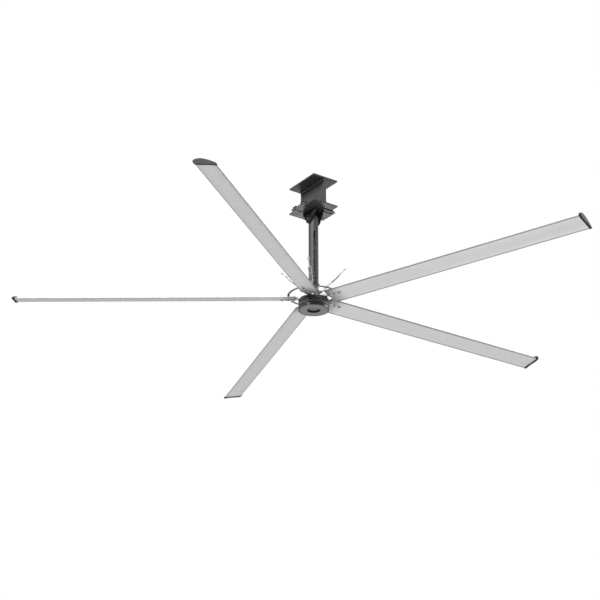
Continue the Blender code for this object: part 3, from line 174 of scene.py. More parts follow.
def eased(corners, radius, steps=5, closed=True):
    """A line of corner points with each corner rounded. On both sides of corner c lie points a and b at the
    rounding's reach, and the curve between them is (1-t)^2 a + 2t(1-t) c + t^2 b. An open line keeps its
    ends."""
    c = np.asarray(corners, float)
    before, after = np.roll(c, 1, 0) - c, np.roll(c, -1, 0) - c
    long_before = np.linalg.norm(before, axis=1)
    long_after = np.linalg.norm(after, axis=1)
    reach = np.minimum(np.broadcast_to(radius, len(c)), 0.49 * np.minimum(long_before, long_after))
    if not closed:
        reach = reach * np.r_[0, np.ones(len(c) - 2), 0]
    a = c + before * (reach / long_before)[:, None]
    b = c + after * (reach / long_after)[:, None]
    t = np.linspace(0, 1, steps + 1)[:, None, None]
    line = (1 - t) ** 2 * a + 2 * t * (1 - t) * c + t**2 * b
    line = line.transpose(1, 0, 2).reshape(-1, c.shape[1])
    apart = np.linalg.norm(np.diff(line, axis=0, prepend=line[-1:] + 1), axis=1) > 1e-7
    return line[apart]


def shell(points, around=False, loop=False, ends=False):
    """A surface through a grid of points: one face joins each four neighbours. around joins the last column
    to the first, loop joins the last row to the first, and ends puts one flat face on the first and last
    rows. The map holds the mean length along rows and columns, in metres."""
    points = np.asarray(points, float)
    rows, columns = points.shape[:2]
    number = np.arange(rows * columns).reshape(rows, columns)
    wide = points
    if loop:
        number, wide = np.append(number, number[:1], 0), np.append(wide, wide[:1], 0)
    if around:
        number, wide = np.append(number, number[:, :1], 1), np.append(wide, wide[:, :1], 1)
    down = np.r_[0, np.cumsum(np.linalg.norm(np.diff(wide, axis=0), axis=2).mean(1))]
    over = np.r_[0, np.cumsum(np.linalg.norm(np.diff(wide, axis=1), axis=2).max(0))]
    maps = np.meshgrid(down, over, indexing="ij")
    four = [
        np.stack([a[:-1, :-1], a[:-1, 1:], a[1:, 1:], a[1:, :-1]], -1).reshape(-1, 4) for a in (number, *maps)
    ]
    faces = four[0].tolist()
    maps = np.stack(four[1:], -1).reshape(-1, 2)
    if ends:
        for row in (0, rows - 1):
            faces.append(number[row, :columns].tolist())
            flat = points[row] - points[row].mean(0)
            maps = np.append(maps, flat @ np.linalg.svd(flat, full_matrices=False)[2][:2].T, 0)
    return points.reshape(-1, 3), faces, maps


def bar(outlines, low, high):
    """A straight bar of one section along Z. Each outline, the outside first and then the holes, is carried
    from one height to the other, and both flat ends are filled between the outlines."""
    flat = np.concatenate(outlines)
    triangles = tessellate_polygon([[Vector((x, y, 0)) for x, y in line] for line in outlines])
    shells = [shell([level(line, low), level(line, high)], around=True) for line in outlines]
    for z in (low, high):
        shells.append((level(flat, z), [list(t) for t in triangles], flat[np.array(triangles).ravel()]))
    return shells


def put(shells, matrix):
    """The same surfaces moved by a matrix: each point p becomes R p + t."""
    m = np.array(matrix)
    return [(points @ m[:3, :3].T + m[:3, 3], faces, maps) for points, faces, maps in shells]


def piece(name, shells, finish, body, slot, stands_for=(), edge=0, sharp=34, thick=0):
    """One object from surfaces: they are joined in one mesh with their maps, points that meet are merged,
    faces are turned outwards, and edges stay sharp above an angle. A middle surface gets its thickness on
    both sides, and edge rounds the sharp edges by a bevel."""
    mesh = bpy.data.meshes.new(name)
    start = np.r_[0, np.cumsum([len(points) for points, _, _ in shells])]
    points = np.concatenate([points for points, _, _ in shells])
    sheets = zip(shells, start.tolist())
    faces = [[i + first for i in face] for (_, sheet, _), first in sheets for face in sheet]
    mesh.from_pydata(points.tolist(), [], faces)
    maps = np.concatenate([maps for _, _, maps in shells])
    mesh.uv_layers.new(name="run").data.foreach_set("uv", maps.astype(np.float32).ravel())
    work = bmesh.new()
    work.from_mesh(mesh)
    bmesh.ops.remove_doubles(work, verts=work.verts, dist=2e-6)
    bmesh.ops.recalc_face_normals(work, faces=work.faces)
    work.to_mesh(mesh)
    work.free()
    mesh.polygons.foreach_set("use_smooth", [True] * len(mesh.polygons))
    mesh.set_sharp_from_angle(angle=math.radians(sharp))
    mesh.materials.append(finish)
    made = shown(bpy.data.objects.new(name, mesh))
    if thick:
        wall = made.modifiers.new("wall", "SOLIDIFY")
        wall.thickness = thick
        wall.offset = 0
        wall.use_even_offset = True
    if edge:
        bevel = made.modifiers.new("edges", "BEVEL")
        bevel.width = edge
        bevel.segments = 2
        bevel.limit_method = "ANGLE"
        bevel.angle_limit = math.radians(sharp)
        bevel.harden_normals = True
    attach(made, body)
    if stands_for:
        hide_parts(*stands_for)
    return made


def group(name, inputs, outputs):
    """An empty shader node group with named inputs, each with its usual value, and outputs. It comes with the
    two functions of its tree, where fed is the node that gives the inputs and out the one that takes the
    outputs."""
    made = bpy.data.node_groups.new(name, "ShaderNodeTree")
    for title, kind, value in inputs:
        made.interface.new_socket(title, in_out="INPUT", socket_type=kind).default_value = value
    for title, kind in outputs:
        made.interface.new_socket(title, in_out="OUTPUT", socket_type=kind)
    made.nodes.new("NodeGroupInput").name = "fed"
    made.nodes.new("NodeGroupOutput").name = "out"
    return made, *node_kit(made)


NUMBER, COLOUR, VECTOR = "NodeSocketFloat", "NodeSocketColor", "NodeSocketVector"

# Coat: colour that varies a little over a hand's breadth and over millimetres, with an orange-peel height
COAT, add, wire = group(
    "coat_skin",
    [
        ("Colour", COLOUR, (0.2, 0.2, 0.2, 1)), ("Patches", NUMBER, 0.15), ("Peel", NUMBER, 650.0),
        ("Speck", NUMBER, 0.1),
    ],
    [("Colour", COLOUR), ("Uneven", NUMBER), ("Height", NUMBER)],
)
add("place", "TexCoord")
add("patch", "TexNoise", Scale=5.5, Detail=4.0, Roughness=0.6)
add("peel", "TexNoise", Detail=1.0, Roughness=0.4)
add("speck", "TexNoise", Scale=1900.0, Detail=0.0)
add("patch_lift", "MapRange", From_Min=0.3, From_Max=0.7, To_Min=-1.0, To_Max=1.0)
add("patch_by", "Math", "MULTIPLY")
add("speck_lift", "MapRange", From_Min=0.35, From_Max=0.65, To_Min=-1.0, To_Max=1.0)
add("speck_by", "Math", "MULTIPLY")
add("both", "Math", "ADD")
add("shade", "Math", "ADD").inputs[1].default_value = 1.0
add("tint", "VectorMath", "SCALE")
wire(
    "place.Object > patch.Vector, peel.Vector, speck.Vector", "fed.Peel > peel.Scale",
    "patch.Fac > patch_lift.Value, out.Uneven", "patch_lift.0 > patch_by.0", "fed.Patches > patch_by.1",
    "speck.Fac > speck_lift.Value", "speck_lift.0 > speck_by.0", "fed.Speck > speck_by.1",
    "patch_by.0 > both.0", "speck_by.0 > both.1", "both.0 > shade.0", "shade.0 > tint.Scale",
    "fed.Colour > tint.0", "tint.0 > out.Colour", "peel.Fac > out.Height",
)

# Rubbed edges: where the surface turns within the reach, broken up by a fine grain
RUBBED, add, wire = group("rubbed_edges", [("Amount", NUMBER, 0.5)], [("Mask", NUMBER)])
add("rounded", "Bevel", samples=4, Radius=0.0015)
add("true", "NewGeometry")
add("same", "VectorMath", "DOT_PRODUCT")
add("turn", "MapRange", From_Min=0.995, From_Max=0.88, To_Min=0.0, To_Max=1.0)
add("place", "TexCoord")
add("grain", "TexNoise", Scale=260.0, Detail=3.0)
add("grain_lift", "MapRange", From_Min=0.4, From_Max=0.62, To_Min=0.0, To_Max=1.0)
add("broken", "Math", "MULTIPLY")
add("much", "Math", "MULTIPLY", use_clamp=True)
wire(
    "rounded.0 > same.0", "true.Normal > same.1", "same.Value > turn.Value", "place.Object > grain.Vector",
    "grain.Fac > grain_lift.Value", "turn.0 > broken.0", "grain_lift.0 > broken.1", "broken.0 > much.0",
    "fed.Amount > much.1", "much.0 > out.Mask",
)


def worn(name, colour, lighter, metallic, rubbed, rough, bump, **skin):
    """A material with what coats and metals share: a colour that is lighter on rubbed edges, and the ranges
    of its roughness and bump. It comes with the two functions of its node tree."""
    made = bpy.data.materials.new(name)
    made.use_nodes = True
    add, wire = node_kit(made.node_tree)
    made.node_tree.nodes["Principled BSDF"].inputs["Metallic"].default_value = metallic
    add("coat", "Group", node_tree=COAT, Colour=(*colour, 1), **skin)
    add("edges", "Group", node_tree=RUBBED, Amount=rubbed)
    add("over", "Mix", data_type="RGBA", B=(*lighter, 1))
    add("rough", "MapRange", **rough)
    add("bump", "Bump", **bump)
    wire(
        "edges.Mask > over.Factor", "over.Result > Principled BSDF.Base Color",
        "rough.0 > Principled BSDF.Roughness", "bump.0 > Principled BSDF.Normal",
    )
    return made, add, wire


def painted(
    name, colour, roughness, metallic=0.0, patches=0.12, peel=650.0, lift=0.00006, bare=None, rubbed=0.5,
    shine=0.4,
):
    """A sprayed or powder coat over metal: unevenness and orange peel, thinner and lighter on the edges."""
    made, add, wire = worn(
        name, colour, bare or [min(1, 1.8 * c + 0.06) for c in colour], metallic, rubbed,
        {"To_Min": roughness - 0.07, "To_Max": roughness + 0.09}, {"Strength": 0.6, "Distance": lift},
        Patches=patches, Peel=peel,
    )
    made.node_tree.nodes["Principled BSDF"].inputs["Specular IOR Level"].default_value = shine
    wire("coat.Colour > over.A", "coat.Uneven > rough.Value", "coat.Height > bump.Height")
    return made


def run_along(line):
    """The length along a line at each of its points."""
    return np.r_[0, np.cumsum(np.linalg.norm(np.diff(line, axis=0), axis=1))]


def painted_light_bands(finish, line, lengths, wide, colour):
    """Painted light and shade: bands of another colour along a bar of one section, at lengths round the
    section's line; lighter bands are painted highlights, darker ones painted shade. Each band is full over a
    third of its width and fades out on both sides."""
    whole = run_along(np.append(line, line[:1], 0))[-1]
    fade = ((-1, 0), (-0.35, 1), (0.35, 1), (1, 0))
    stops = [(length + share * wide, mask) for length in lengths for share, mask in fade]
    add, wire = node_kit(finish.node_tree)
    add("run", "UVMap", uv_map="run")
    add("apart", "SeparateXYZ")
    add("spread", "MapRange", From_Max=whole)
    ramp = add("bands", "ValToRGB").color_ramp.elements
    for i, (length, mask) in enumerate(stop for stop in stops if 0 < stop[0] < whole):
        stop = ramp[i] if i < 2 else ramp.new(1.0)
        stop.position = length / whole
        stop.color = (mask, mask, mask, 1)
    add("band_over", "Mix", data_type="RGBA", B=(*colour, 1))
    wire(
        "over.Result > band_over.A", "run.0 > apart.0", "apart.Y > spread.Value", "spread.0 > bands.0",
        "bands.0 > band_over.Factor", "band_over.Result > Principled BSDF.Base Color",
    )


flange, web, under_top, over_foot = BEAM_WIDE / 2, BEAM_WEB / 2, -BEAM_FLANGE, BEAM_FLANGE - BEAM_DEEP
right_side = [
    (flange, -BEAM_DEEP), (flange, over_foot), (web, over_foot), (web, under_top), (flange, under_top),
    (flange, 0),
]
beam_corners = right_side + [(-x, z) for x, z in right_side[::-1]]
beam_rounding = np.tile([BEAM_EDGE, BEAM_EDGE, BEAM_FILLET, BEAM_FILLET, BEAM_EDGE, BEAM_EDGE], 2)
beam_section = eased(beam_corners, beam_rounding, 8)
beam_paint_and_highlights = painted("beam_paint_and_highlights", (0.036, 0.036, 0.037), 0.6, peel=420.0, lift=0.00002, shine=0.15)
# Painted highlight: a lighter band along each upper fillet stands in for the light that the fillet catches.
fillets = []
for x in (web + FILLET_MIDDLE, -web - FILLET_MIDDLE):
    off = np.hypot(beam_section[:, 0] - x, beam_section[:, 1] + BEAM_FLANGE + FILLET_MIDDLE)
    fillets.append(run_along(beam_section)[off.argmin()])
painted_light_bands(beam_paint_and_highlights, beam_section, sorted(fillets), FILLET_HIGHLIGHT_WIDE, (0.14, 0.14, 0.142))
ALONG_X = Matrix(((0, 0, 1, 0), (1, 0, 0, 0), (0, 1, 0, 0), (0, 0, 0, 1)))
piece(
    "rolled_beam", put(bar([beam_section], -BEAM_LONG / 2, BEAM_LONG / 2), ALONG_X), beam_paint_and_highlights,
    "mount", "i_beam_stub", ["i_beam_stub"], edge=0.0006, sharp=50,
)


# Mount plate: a flat steel plate under the beam, with two slots at each end for the clamp bolts. Laser cut,
# edges broken, painted like the beam. Four M12 studs pressed into it hold the yoke with dark nuts.
SEAT = 0.0003
PLATE_HALF_X, PLATE_HALF_Y, PLATE_CORNER = 0.116, 0.205, 0.01875
PLATE_TOP, PLATE_THICK = -BEAM_DEEP - SEAT, 0.01
SLOT_X, SLOT_HALF, SLOT_FROM, SLOT_TO = 0.068, 0.007, 0.062, 0.184
YOKE_TOP, YOKE_GAUGE = PLATE_TOP - PLATE_THICK - SEAT, 0.008
STUD_X, STUD_Y, STUD_RADIUS, STUD_HEX, STUD_NUT, STUD_END = 0.08, 0.03, 0.006, 0.011, 0.01, 0.003
STUD_IN_PLATE, M12_PITCH = 0.004, 0.00175
FLIP = Matrix.Rotation(math.pi, 4, "X")


def block_line(half_x, half_y):
    """The corners of a rectangle about the origin, from the lower right one on."""
    return [(half_x, -half_y), (half_x, half_y), (-half_x, half_y), (-half_x, -half_y)]


def stadium(half, low, high, x=0.0, steps=14):
    """A slot's outline along Y: half circles of radius half about (x, low + half) and (x, high - half)."""
    t = np.linspace(0, np.pi, steps + 1)
    return np.concatenate([on_arc(half, t, x, high - half), on_arc(half, t + np.pi, x, low + half)])


def round_grid(r, a, z):
    """The points (r cos a, r sin a, z), of numbers, rows, columns or grids."""
    return np.stack(np.broadcast_arrays(r * np.cos(a), r * np.sin(a), z), -1)


def six_sided(corner, a):
    """The radius of a hexagon at angle a: f / cos(a'), where f is half the width over flats and a' the angle
    from the middle of the nearest flat."""
    return corner * math.cos(math.pi / 6) / np.cos(a % (np.pi / 3) - np.pi / 6)


def hexed(corner, low, high, both=False, steps=60):
    """A hexagon bar turned to a cone at its top, or at both ends. Its radius is the smaller of the hexagon's
    and 0.95 f + 1.73 d: f is half the width over flats and d the distance from the turned end."""
    f = corner * math.cos(math.pi / 6)
    a = angles(steps)
    d = f * np.array([0, 0.02, 0.05, 0.09, 0.13])
    z = np.r_[low + d if both else low, (high - d)[::-1]]
    end = np.minimum(high - z, z - low) if both else high - z
    r = np.minimum(six_sided(corner, a), (0.95 * f + 1.73 * end)[:, None])
    return shell(round_grid(r, a, z[:, None]), around=True, ends=True)


def threaded(radius, pitch, low, high, steps=24):
    """A rod with a rolled thread: r(a, z) = R - 0.61 p |2 w - 1|, where w is the fraction of
    z / p - a / 2 pi, cut by a 45 degree cone at its upper end."""
    z = np.append(np.arange(low, high, pitch / 6), high)[:, None]
    a = angles(steps)
    turn = (z / pitch - a / (2 * np.pi)) % 1
    r = np.minimum(radius - 0.61 * pitch * np.abs(2 * turn - 1), radius - 0.9 * pitch + high - z)
    return shell(round_grid(r, a, z), around=True, ends=True)


def lathe(profile, steps=48, ring=False):
    """A turned surface: each profile point (r, z) goes round to (r cos a, r sin a, z). A ring's profile
    closes on itself, and any other starts and ends on the axis."""
    r, z = np.asarray(profile, float).T[:, :, None]
    return shell(round_grid(r, angles(steps), z), around=True, loop=ring)


def turned(profile, rounding, fine, steps, ring=False):
    """A turned surface whose profile is given by its corners, each rounded in a number of fine steps."""
    return lathe(eased(profile, rounding, fine, closed=ring), steps, ring)


def at(x=0.0, y=0.0, z=0.0, turn=0.0, tilt=0.0):
    """A place: a turn about Z of the point (x, y, z), after a tilt about the local Y axis."""
    return Matrix.Rotation(turn, 4, "Z") @ Matrix.Translation((x, y, z)) @ Matrix.Rotation(tilt, 4, "Y")


# Drawn lines: a noise stretched along the map, so that it is fine across the lines and long along them
LINES, add, wire = group("drawn_lines", [("Stretch", VECTOR, (900.0, 4.0, 1.0))], [("Mask", NUMBER)])
add("run", "UVMap", uv_map="run")
add("stretched", "VectorMath", "MULTIPLY")
add("fine", "TexNoise", Scale=1.0, Detail=3.0, Roughness=0.65)
wire("run.0 > stretched.0", "fed.Stretch > stretched.1", "stretched.0 > fine.Vector", "fine.Fac > out.Mask")

# Crystals: the flowers of hot dipped zinc or the grain of a casting, each cell with a shade of its own
CRYSTAL, add, wire = group(
    "crystals", [("Size", NUMBER, 110.0), ("Contrast", NUMBER, 0.3)], [("Shade", NUMBER)]
)
add("place", "TexCoord")
add("wobble", "TexNoise", Scale=60.0, Detail=2.0)
add("bent", "VectorMath", "MULTIPLY_ADD").inputs[1].default_value = (0.006, 0.006, 0.006)
add("cell", "TexVoronoi", feature="F1")
add("one", "SeparateColor")
add("level", "MapRange", To_Min=-1.0, To_Max=1.0)
add("much", "Math", "MULTIPLY")
add("lifted", "Math", "ADD").inputs[1].default_value = 1.0
wire(
    "place.Object > wobble.Vector, bent.2", "wobble.Color > bent.0", "bent.0 > cell.Vector",
    "fed.Size > cell.Scale", "cell.Color > one.0", "one.0 > level.Value", "level.0 > much.0",
    "fed.Contrast > much.1", "much.0 > lifted.0", "lifted.0 > out.Shade",
)


def metal(
    name, colour, roughness, stretch=(900.0, 5.0, 1.0), lines=0.3, crystal=0.06, size=260.0, metallic=1.0,
    depth=0.00002, patches=0.1, rubbed=0.5,
):
    """Bare or plated metal: a shade from patches and crystals, drawn or turned lines and brighter edges."""
    rough = {"To_Min": max(0.05, roughness - 0.25 * lines), "To_Max": roughness + 0.3 * lines}
    made, add, wire = worn(
        name, colour, [min(1, 1.3 * c + 0.08) for c in colour], metallic, rubbed,
        {"From_Min": 0.25, "From_Max": 0.75, **rough}, {"Strength": 0.5 * lines + 0.1, "Distance": depth},
        Patches=patches, Speck=0.04,
    )
    add("cells", "Group", node_tree=CRYSTAL, Size=size, Contrast=crystal)
    add("drawn", "Group", node_tree=LINES, Stretch=stretch)
    add("shaded", "VectorMath", "SCALE")
    add("blend", "Mix", data_type="FLOAT", Factor=0.45)
    wire(
        "coat.Colour > shaded.0", "cells.Shade > shaded.Scale", "shaded.0 > over.A",
        "drawn.Mask > blend.A, bump.Height", "coat.Uneven > blend.B", "blend.Result > rough.Value",
    )
    return made


plate_line = eased(block_line(PLATE_HALF_X, PLATE_HALF_Y), PLATE_CORNER, 10)
slots = [
    stadium(SLOT_HALF, min(side * SLOT_FROM, side * SLOT_TO), max(side * SLOT_FROM, side * SLOT_TO), x)
    for x in (-SLOT_X, SLOT_X) for side in (-1, 1)
]
plate = bar([plate_line, *slots], PLATE_TOP - PLATE_THICK, PLATE_TOP)
plate_paint = painted("plate_paint", (0.034, 0.034, 0.035), 0.6, peel=480.0, lift=0.00002, shine=0.15)
zinc = metal("bright_zinc", (0.56, 0.57, 0.58), 0.34, crystal=0.05)
bolt_steel = metal("bolt_steel", (0.06, 0.06, 0.062), 0.5, crystal=0.05, metallic=0.6, rubbed=0.2)
piece("slotted_plate", plate, plate_paint, "mount", "mount_plate", ["mount_plate"], edge=0.0008)
stud = [
    hexed(STUD_HEX, 0, STUD_NUT, both=True),
    threaded(STUD_RADIUS, M12_PITCH, -YOKE_GAUGE - STUD_IN_PLATE, STUD_NUT + STUD_END),
]
studs = []
for x in (-STUD_X, STUD_X):
    for y in (-STUD_Y, STUD_Y):
        studs += put(stud, at(x, y, YOKE_TOP - YOKE_GAUGE) @ FLIP)
piece("yoke_studs", studs, bolt_steel, "mount", "mount_plate")


# Beam clamps: four stepped clamps of cast iron that grip the lower flange. Each heel stands on the plate,
# each toe lies on the flange, and a hexagon bolt through the slot draws it down. Black on the rough casting.
CLAMP_Y, CLAMP_HALF, CLAMP_HEEL, CLAMP_TOE, CLAMP_STEP = 0.177, 0.022, 0.023, 0.057, 0.0205
CLAMP_SEAT, CLAMP_TOP, CLAMP_TIP, CLAMP_NOSE, CLAMP_CHAMFER = 0.016, 0.0255, 0.0225, 0.039, 0.005
CLAMP_HEX, CLAMP_HEAD, CLAMP_NUT, CLAMP_BOLT_END = 0.011, 0.0075, 0.0075, 0.002
M12_WASHER, M12_HOLE, M12_WASHER_THICK = 0.0125, 0.0061, 0.0016
clamp_side = [
    (CLAMP_HEEL, SEAT), (CLAMP_HEEL, CLAMP_TOP - CLAMP_CHAMFER), (CLAMP_HEEL - CLAMP_CHAMFER, CLAMP_TOP),
    (-CLAMP_NOSE, CLAMP_TOP), (-CLAMP_TOE, CLAMP_TIP), (-CLAMP_TOE, CLAMP_SEAT), (-CLAMP_STEP, CLAMP_SEAT),
    (-CLAMP_STEP, SEAT),
]
clamp_section = eased(clamp_side, [0.001, 0.004, 0.004, 0.01, 0.003, 0.002, 0.002, 0.001], 6)
cast_black = painted(
    "cast_black", (0.012, 0.012, 0.0125), 0.6, shine=0.15, patches=0.25, peel=900.0, lift=0.0003,
    bare=(0.06, 0.06, 0.06), rubbed=0.3,
)


def box_line(left, right, low, high):
    """The four corners of a rectangle, from (left, low) by way of (right, low)."""
    return [(left, low), (right, low), (right, high), (left, high)]


def washer(outer, inner, low, high):
    """A flat washer: a ring of rectangular section with rounded corners."""
    return turned(box_line(inner, outer, low, high), 0.0005, 3, 48, ring=True)


def each(name, shells, finish, body, slot, places, stands=True, **form):
    """The same piece at several places. Its number goes into its name, the node that it stands for and, where
    the body's name has a gap for it, its body."""
    for i, place in enumerate(places, 1):
        nodes = [f"{slot}_{i}"] if stands else ()
        piece(f"{name}_{i}", put(shells, place), finish, body.format(i), slot, nodes, **form)


clamp_under = -PLATE_THICK - SEAT
nut_seat = CLAMP_TOP + M12_WASHER_THICK
clamp_head = [
    hexed(CLAMP_HEX, M12_WASHER_THICK, CLAMP_HEAD), washer(M12_WASHER, M12_HOLE, 0, M12_WASHER_THICK),
]
clamp_bolt = put(clamp_head, at(z=clamp_under) @ FLIP) + [
    washer(M12_WASHER, M12_HOLE, CLAMP_TOP, nut_seat),
    hexed(CLAMP_HEX, nut_seat, CLAMP_TOP + CLAMP_NUT, both=True),
    threaded(STUD_RADIUS, M12_PITCH, clamp_under, CLAMP_TOP + CLAMP_NUT + CLAMP_BOLT_END),
]
clamp_places = [
    at(x, side * CLAMP_Y, PLATE_TOP) @ at(turn=(1 - side) * math.pi / 2)
    for side in (1, -1) for x in (-SLOT_X, SLOT_X)
]
clamp = put(bar([clamp_section], -CLAMP_HALF, CLAMP_HALF), ALONG_X)
each("clamp", clamp, cast_black, "mount", "beam_clamp", clamp_places, edge=0.0012)
each("clamp_bolt", clamp_bolt, bolt_steel, "mount", "beam_clamp", clamp_places, stands=False)


# Yoke: one 8 mm steel strap bent down at both ends into two ears, which narrow to a round end about the pivot
# bolt. Black powder coat, rubbed a little on the edges.
EAR_MIDDLE, YOKE_HALF_X, PIVOT_Z, BEND = 0.058, 0.102, -0.42, 0.0091
EAR_SHOULDER, EAR_WAIST, EAR_ROUND, BEND_ENDS = (0.012, 0.102), (0.062, 0.078), 0.045, 0.014
pivot_drop = YOKE_TOP - PIVOT_Z
ear_corners = [(0, YOKE_HALF_X), EAR_SHOULDER, EAR_WAIST, (pivot_drop + 0.0085, 0.0445)]
ear_side = np.concatenate([
    eased(ear_corners, [0, 0.008, 0.014, 0], 6, closed=False),
    on_arc(EAR_ROUND, np.radians(np.linspace(78, 0.01, 26)), pivot_drop),
])
mid, ear_foot = YOKE_TOP - YOKE_GAUGE / 2, PIVOT_Z - EAR_ROUND
strap_corners = [(EAR_MIDDLE, ear_foot), (EAR_MIDDLE, mid), (-EAR_MIDDLE, mid), (-EAR_MIDDLE, ear_foot)]
strap_path = eased(strap_corners, BEND, 8, closed=False)
ear_drops = np.unique(np.round(np.concatenate([ear_side[:, 0], np.linspace(BEND_ENDS, 0.14, 14)]), 6))
ear_z = YOKE_TOP - ear_drops[ear_drops > BEND_ENDS]
bend_rows = strap_path[strap_path[:, 1] > YOKE_TOP - BEND_ENDS + 0.0001]
strap_rows = np.concatenate([upright(EAR_MIDDLE, ear_z)[::-1], bend_rows, upright(-EAR_MIDDLE, ear_z)])
half_width = np.interp(YOKE_TOP - strap_rows[:, 1], ear_side[:, 0], ear_side[:, 1])[:, None]
strap_grid = np.broadcast_arrays(half_width * np.linspace(-1, 1, 25), strap_rows[:, :1], strap_rows[:, 1:])
black = painted(
    "black_coat", (0.013, 0.013, 0.0135), 0.5, shine=0.12, peel=520.0, lift=0.00003, patches=0.25,
    bare=(0.08, 0.08, 0.08), rubbed=0.3,
)
strap = shell(np.stack(strap_grid, -1))
piece("bent_yoke", [strap], black, "mount", "yoke", ["yoke"], edge=0.0009, thick=YOKE_GAUGE)


# Pivot bolt and nut: an M20 hexagon bolt through both ears and the downrod, with a washer at each end and a
# lock nut. The head is dark, the nut is bright zinc.
PIVOT_RADIUS, PIVOT_HEX, PIVOT_HEAD, PIVOT_NUT, PIVOT_END = 0.01, 0.0173, 0.0125, 0.016, 0.005
M20_PITCH, M20_WASHER, M20_HOLE, M20_WASHER_THICK, WASHER_FROM = 0.0025, 0.0185, 0.0102, 0.003, 0.0623
UPRIGHT = Matrix.Rotation(math.pi / 2, 4, "X")


def shank(radius, low, high, steps=24):
    """A plain round bar."""
    return lathe([(0, low), (radius, low), (radius, high), (0, high)], steps)


outside = WASHER_FROM + M20_WASHER_THICK
pivot_washer = washer(M20_WASHER, M20_HOLE, WASHER_FROM, outside)
pivot_end = threaded(PIVOT_RADIUS, M20_PITCH, WASHER_FROM - 0.002, outside + PIVOT_NUT + PIVOT_END, 36)
pivot_bolt = [
    hexed(PIVOT_HEX, outside, outside + PIVOT_HEAD), pivot_washer,
    shank(PIVOT_RADIUS, -WASHER_FROM, outside, 40), *put([pivot_end], FLIP),
]
pivot_nut = [pivot_washer, hexed(PIVOT_HEX, outside, outside + PIVOT_NUT, both=True)]
across_y = at(z=PIVOT_Z) @ UPRIGHT
dark_bolt = metal("pivot_bolt_steel", (0.05, 0.05, 0.052), 0.45, crystal=0.05, metallic=0.6, rubbed=0.2)
piece("pivot_bolt_turned", put(pivot_bolt, across_y), dark_bolt, "mount", "pivot_bolt", ["pivot_bolt"])
piece("pivot_nut_turned", put(pivot_nut, across_y @ FLIP), zinc, "mount", "pivot_nut", ["pivot_nut"])


# Downrod: a 101.6 mm steel tube with a long round ended slot for the cables and a cross hole for the pivot
# sleeve. Satin grey paint outside, bare galvanised steel inside.
ROD_RADIUS, ROD_WALL, ROD_TOP, ROD_BOTTOM = 0.0508, 0.005, -0.38, -1.168
CABLE_HALF, CABLE_TOP, CABLE_BOTTOM, CABLE_TURN = 0.012, -0.557, -1.075, -23
HOLE_RADIUS, ROD_JOIN = 0.0165, -0.466
middle = ROD_RADIUS - ROD_WALL / 2


def frame_line(a, z, low, high):
    """A closed line round a patch of the unrolled tube: up at the last angle, back over the top, down at the
    first angle and along the foot."""
    return np.concatenate([upright(a[-1], z), level(a[::-1], high), upright(a[0], z[::-1]), level(a, low)])


def between(inner, outer, steps):
    """A tube wall between two closed lines drawn on its unrolled surface, p = (1 - b) inner + b outer, with
    each point (a, z) wrapped to (R cos a, R sin a, z)."""
    b = np.linspace(0, 1, steps + 1)[:, None, None]
    a, z = np.moveaxis((1 - b) * inner + b * outer, -1, 0)
    return shell(round_grid(middle, a, z), around=True)


seam = CABLE_TURN + 180
rim = np.unique(np.r_[np.arange(0, 361, 3.75), seam])
rod = []
for turn in (90, 270):
    centre = math.radians(turn)
    a = np.radians(rim[(rim >= turn - 90) & (rim <= turn + 90)])
    patch = frame_line(a, np.linspace(ROD_JOIN, ROD_TOP, 9)[1:-1], ROD_JOIN, ROD_TOP)
    way = np.arctan2(patch[:, 1] - PIVOT_Z, (patch[:, 0] - centre) * middle * 0.4)
    hole_x = HOLE_RADIUS * np.cos(way)
    hole = np.column_stack([centre + np.arcsin(hole_x / middle), PIVOT_Z + HOLE_RADIUS * np.sin(way)])
    rod.append(between(hole, patch, 12))
centre = math.radians(CABLE_TURN)
a = np.radians(np.r_[rim[rim >= seam] - 360, rim[(rim > 0) & (rim <= seam)]])
patch = frame_line(a, np.linspace(ROD_BOTTOM, ROD_JOIN, 62)[1:-1], ROD_BOTTOM, ROD_JOIN)
high, low = CABLE_TOP - CABLE_HALF, CABLE_BOTTOM + CABLE_HALF
above = np.clip((patch[:, 1] - high) / (ROD_JOIN - high), 0, 1)
over = above - np.clip((low - patch[:, 1]) / (low - ROD_BOTTOM), 0, 1)
side = np.clip((patch[:, 0] - centre) / np.pi, -1, 1)
lean = np.radians(np.where(np.abs(side) > 0.9999, 40 * np.abs(over), 90 - 50 * np.abs(side)))
slot_x = np.sign(side + (side == 0)) * CABLE_HALF * np.cos(lean)
slot_z = np.clip(patch[:, 1], low, high) + np.sign(over) * CABLE_HALF * np.sin(lean)
rod.append(between(np.column_stack([centre + np.arcsin(slot_x / middle), slot_z]), patch, 40))
rod_paint = painted("rod_paint", (0.03, 0.03, 0.031), 0.58, shine=0.3, peel=380.0, lift=0.00005)
bare_tube = metal("bare_tube", (0.42, 0.43, 0.44), 0.5, crystal=0.08, metallic=0.3)
tube = piece(
    "slotted_downrod", rod, bare_tube, "hanging_assembly", "downrod", ["downrod"], edge=0.0005,
    thick=ROD_WALL,
)
tube.data.materials.append(rod_paint)
tube.modifiers["wall"].material_offset = 1
tube.modifiers["wall"].material_offset_rim = 1


# Motor coupling: a turned steel plug inside the foot of the downrod, with a neck and a round flange below it.
# Three button head screws hold the tube to the plug. Dark satin paint, black screws.
coupling_side = [
    (0.028, -1.068), (0.0453, -1.068), (0.0453, -1.171), (0.042, -1.174), (0.042, -1.222),
    (0.062, -1.222), (0.062, -1.232), (0.028, -1.232),
]
coupling_rounding = [0.001, 0.004, 0.001, 0.002, 0.007, 0.0016, 0.0016, 0.001]
coupling = turned(coupling_side, coupling_rounding, 6, 96, ring=True)
dark_paint = painted("coupling_paint", (0.085, 0.085, 0.087), 0.38, metallic=0.35, peel=420.0, lift=0.0001)
piece("turned_coupling", [coupling], dark_paint, "hanging_assembly", "motor_coupling", ["motor_coupling"])


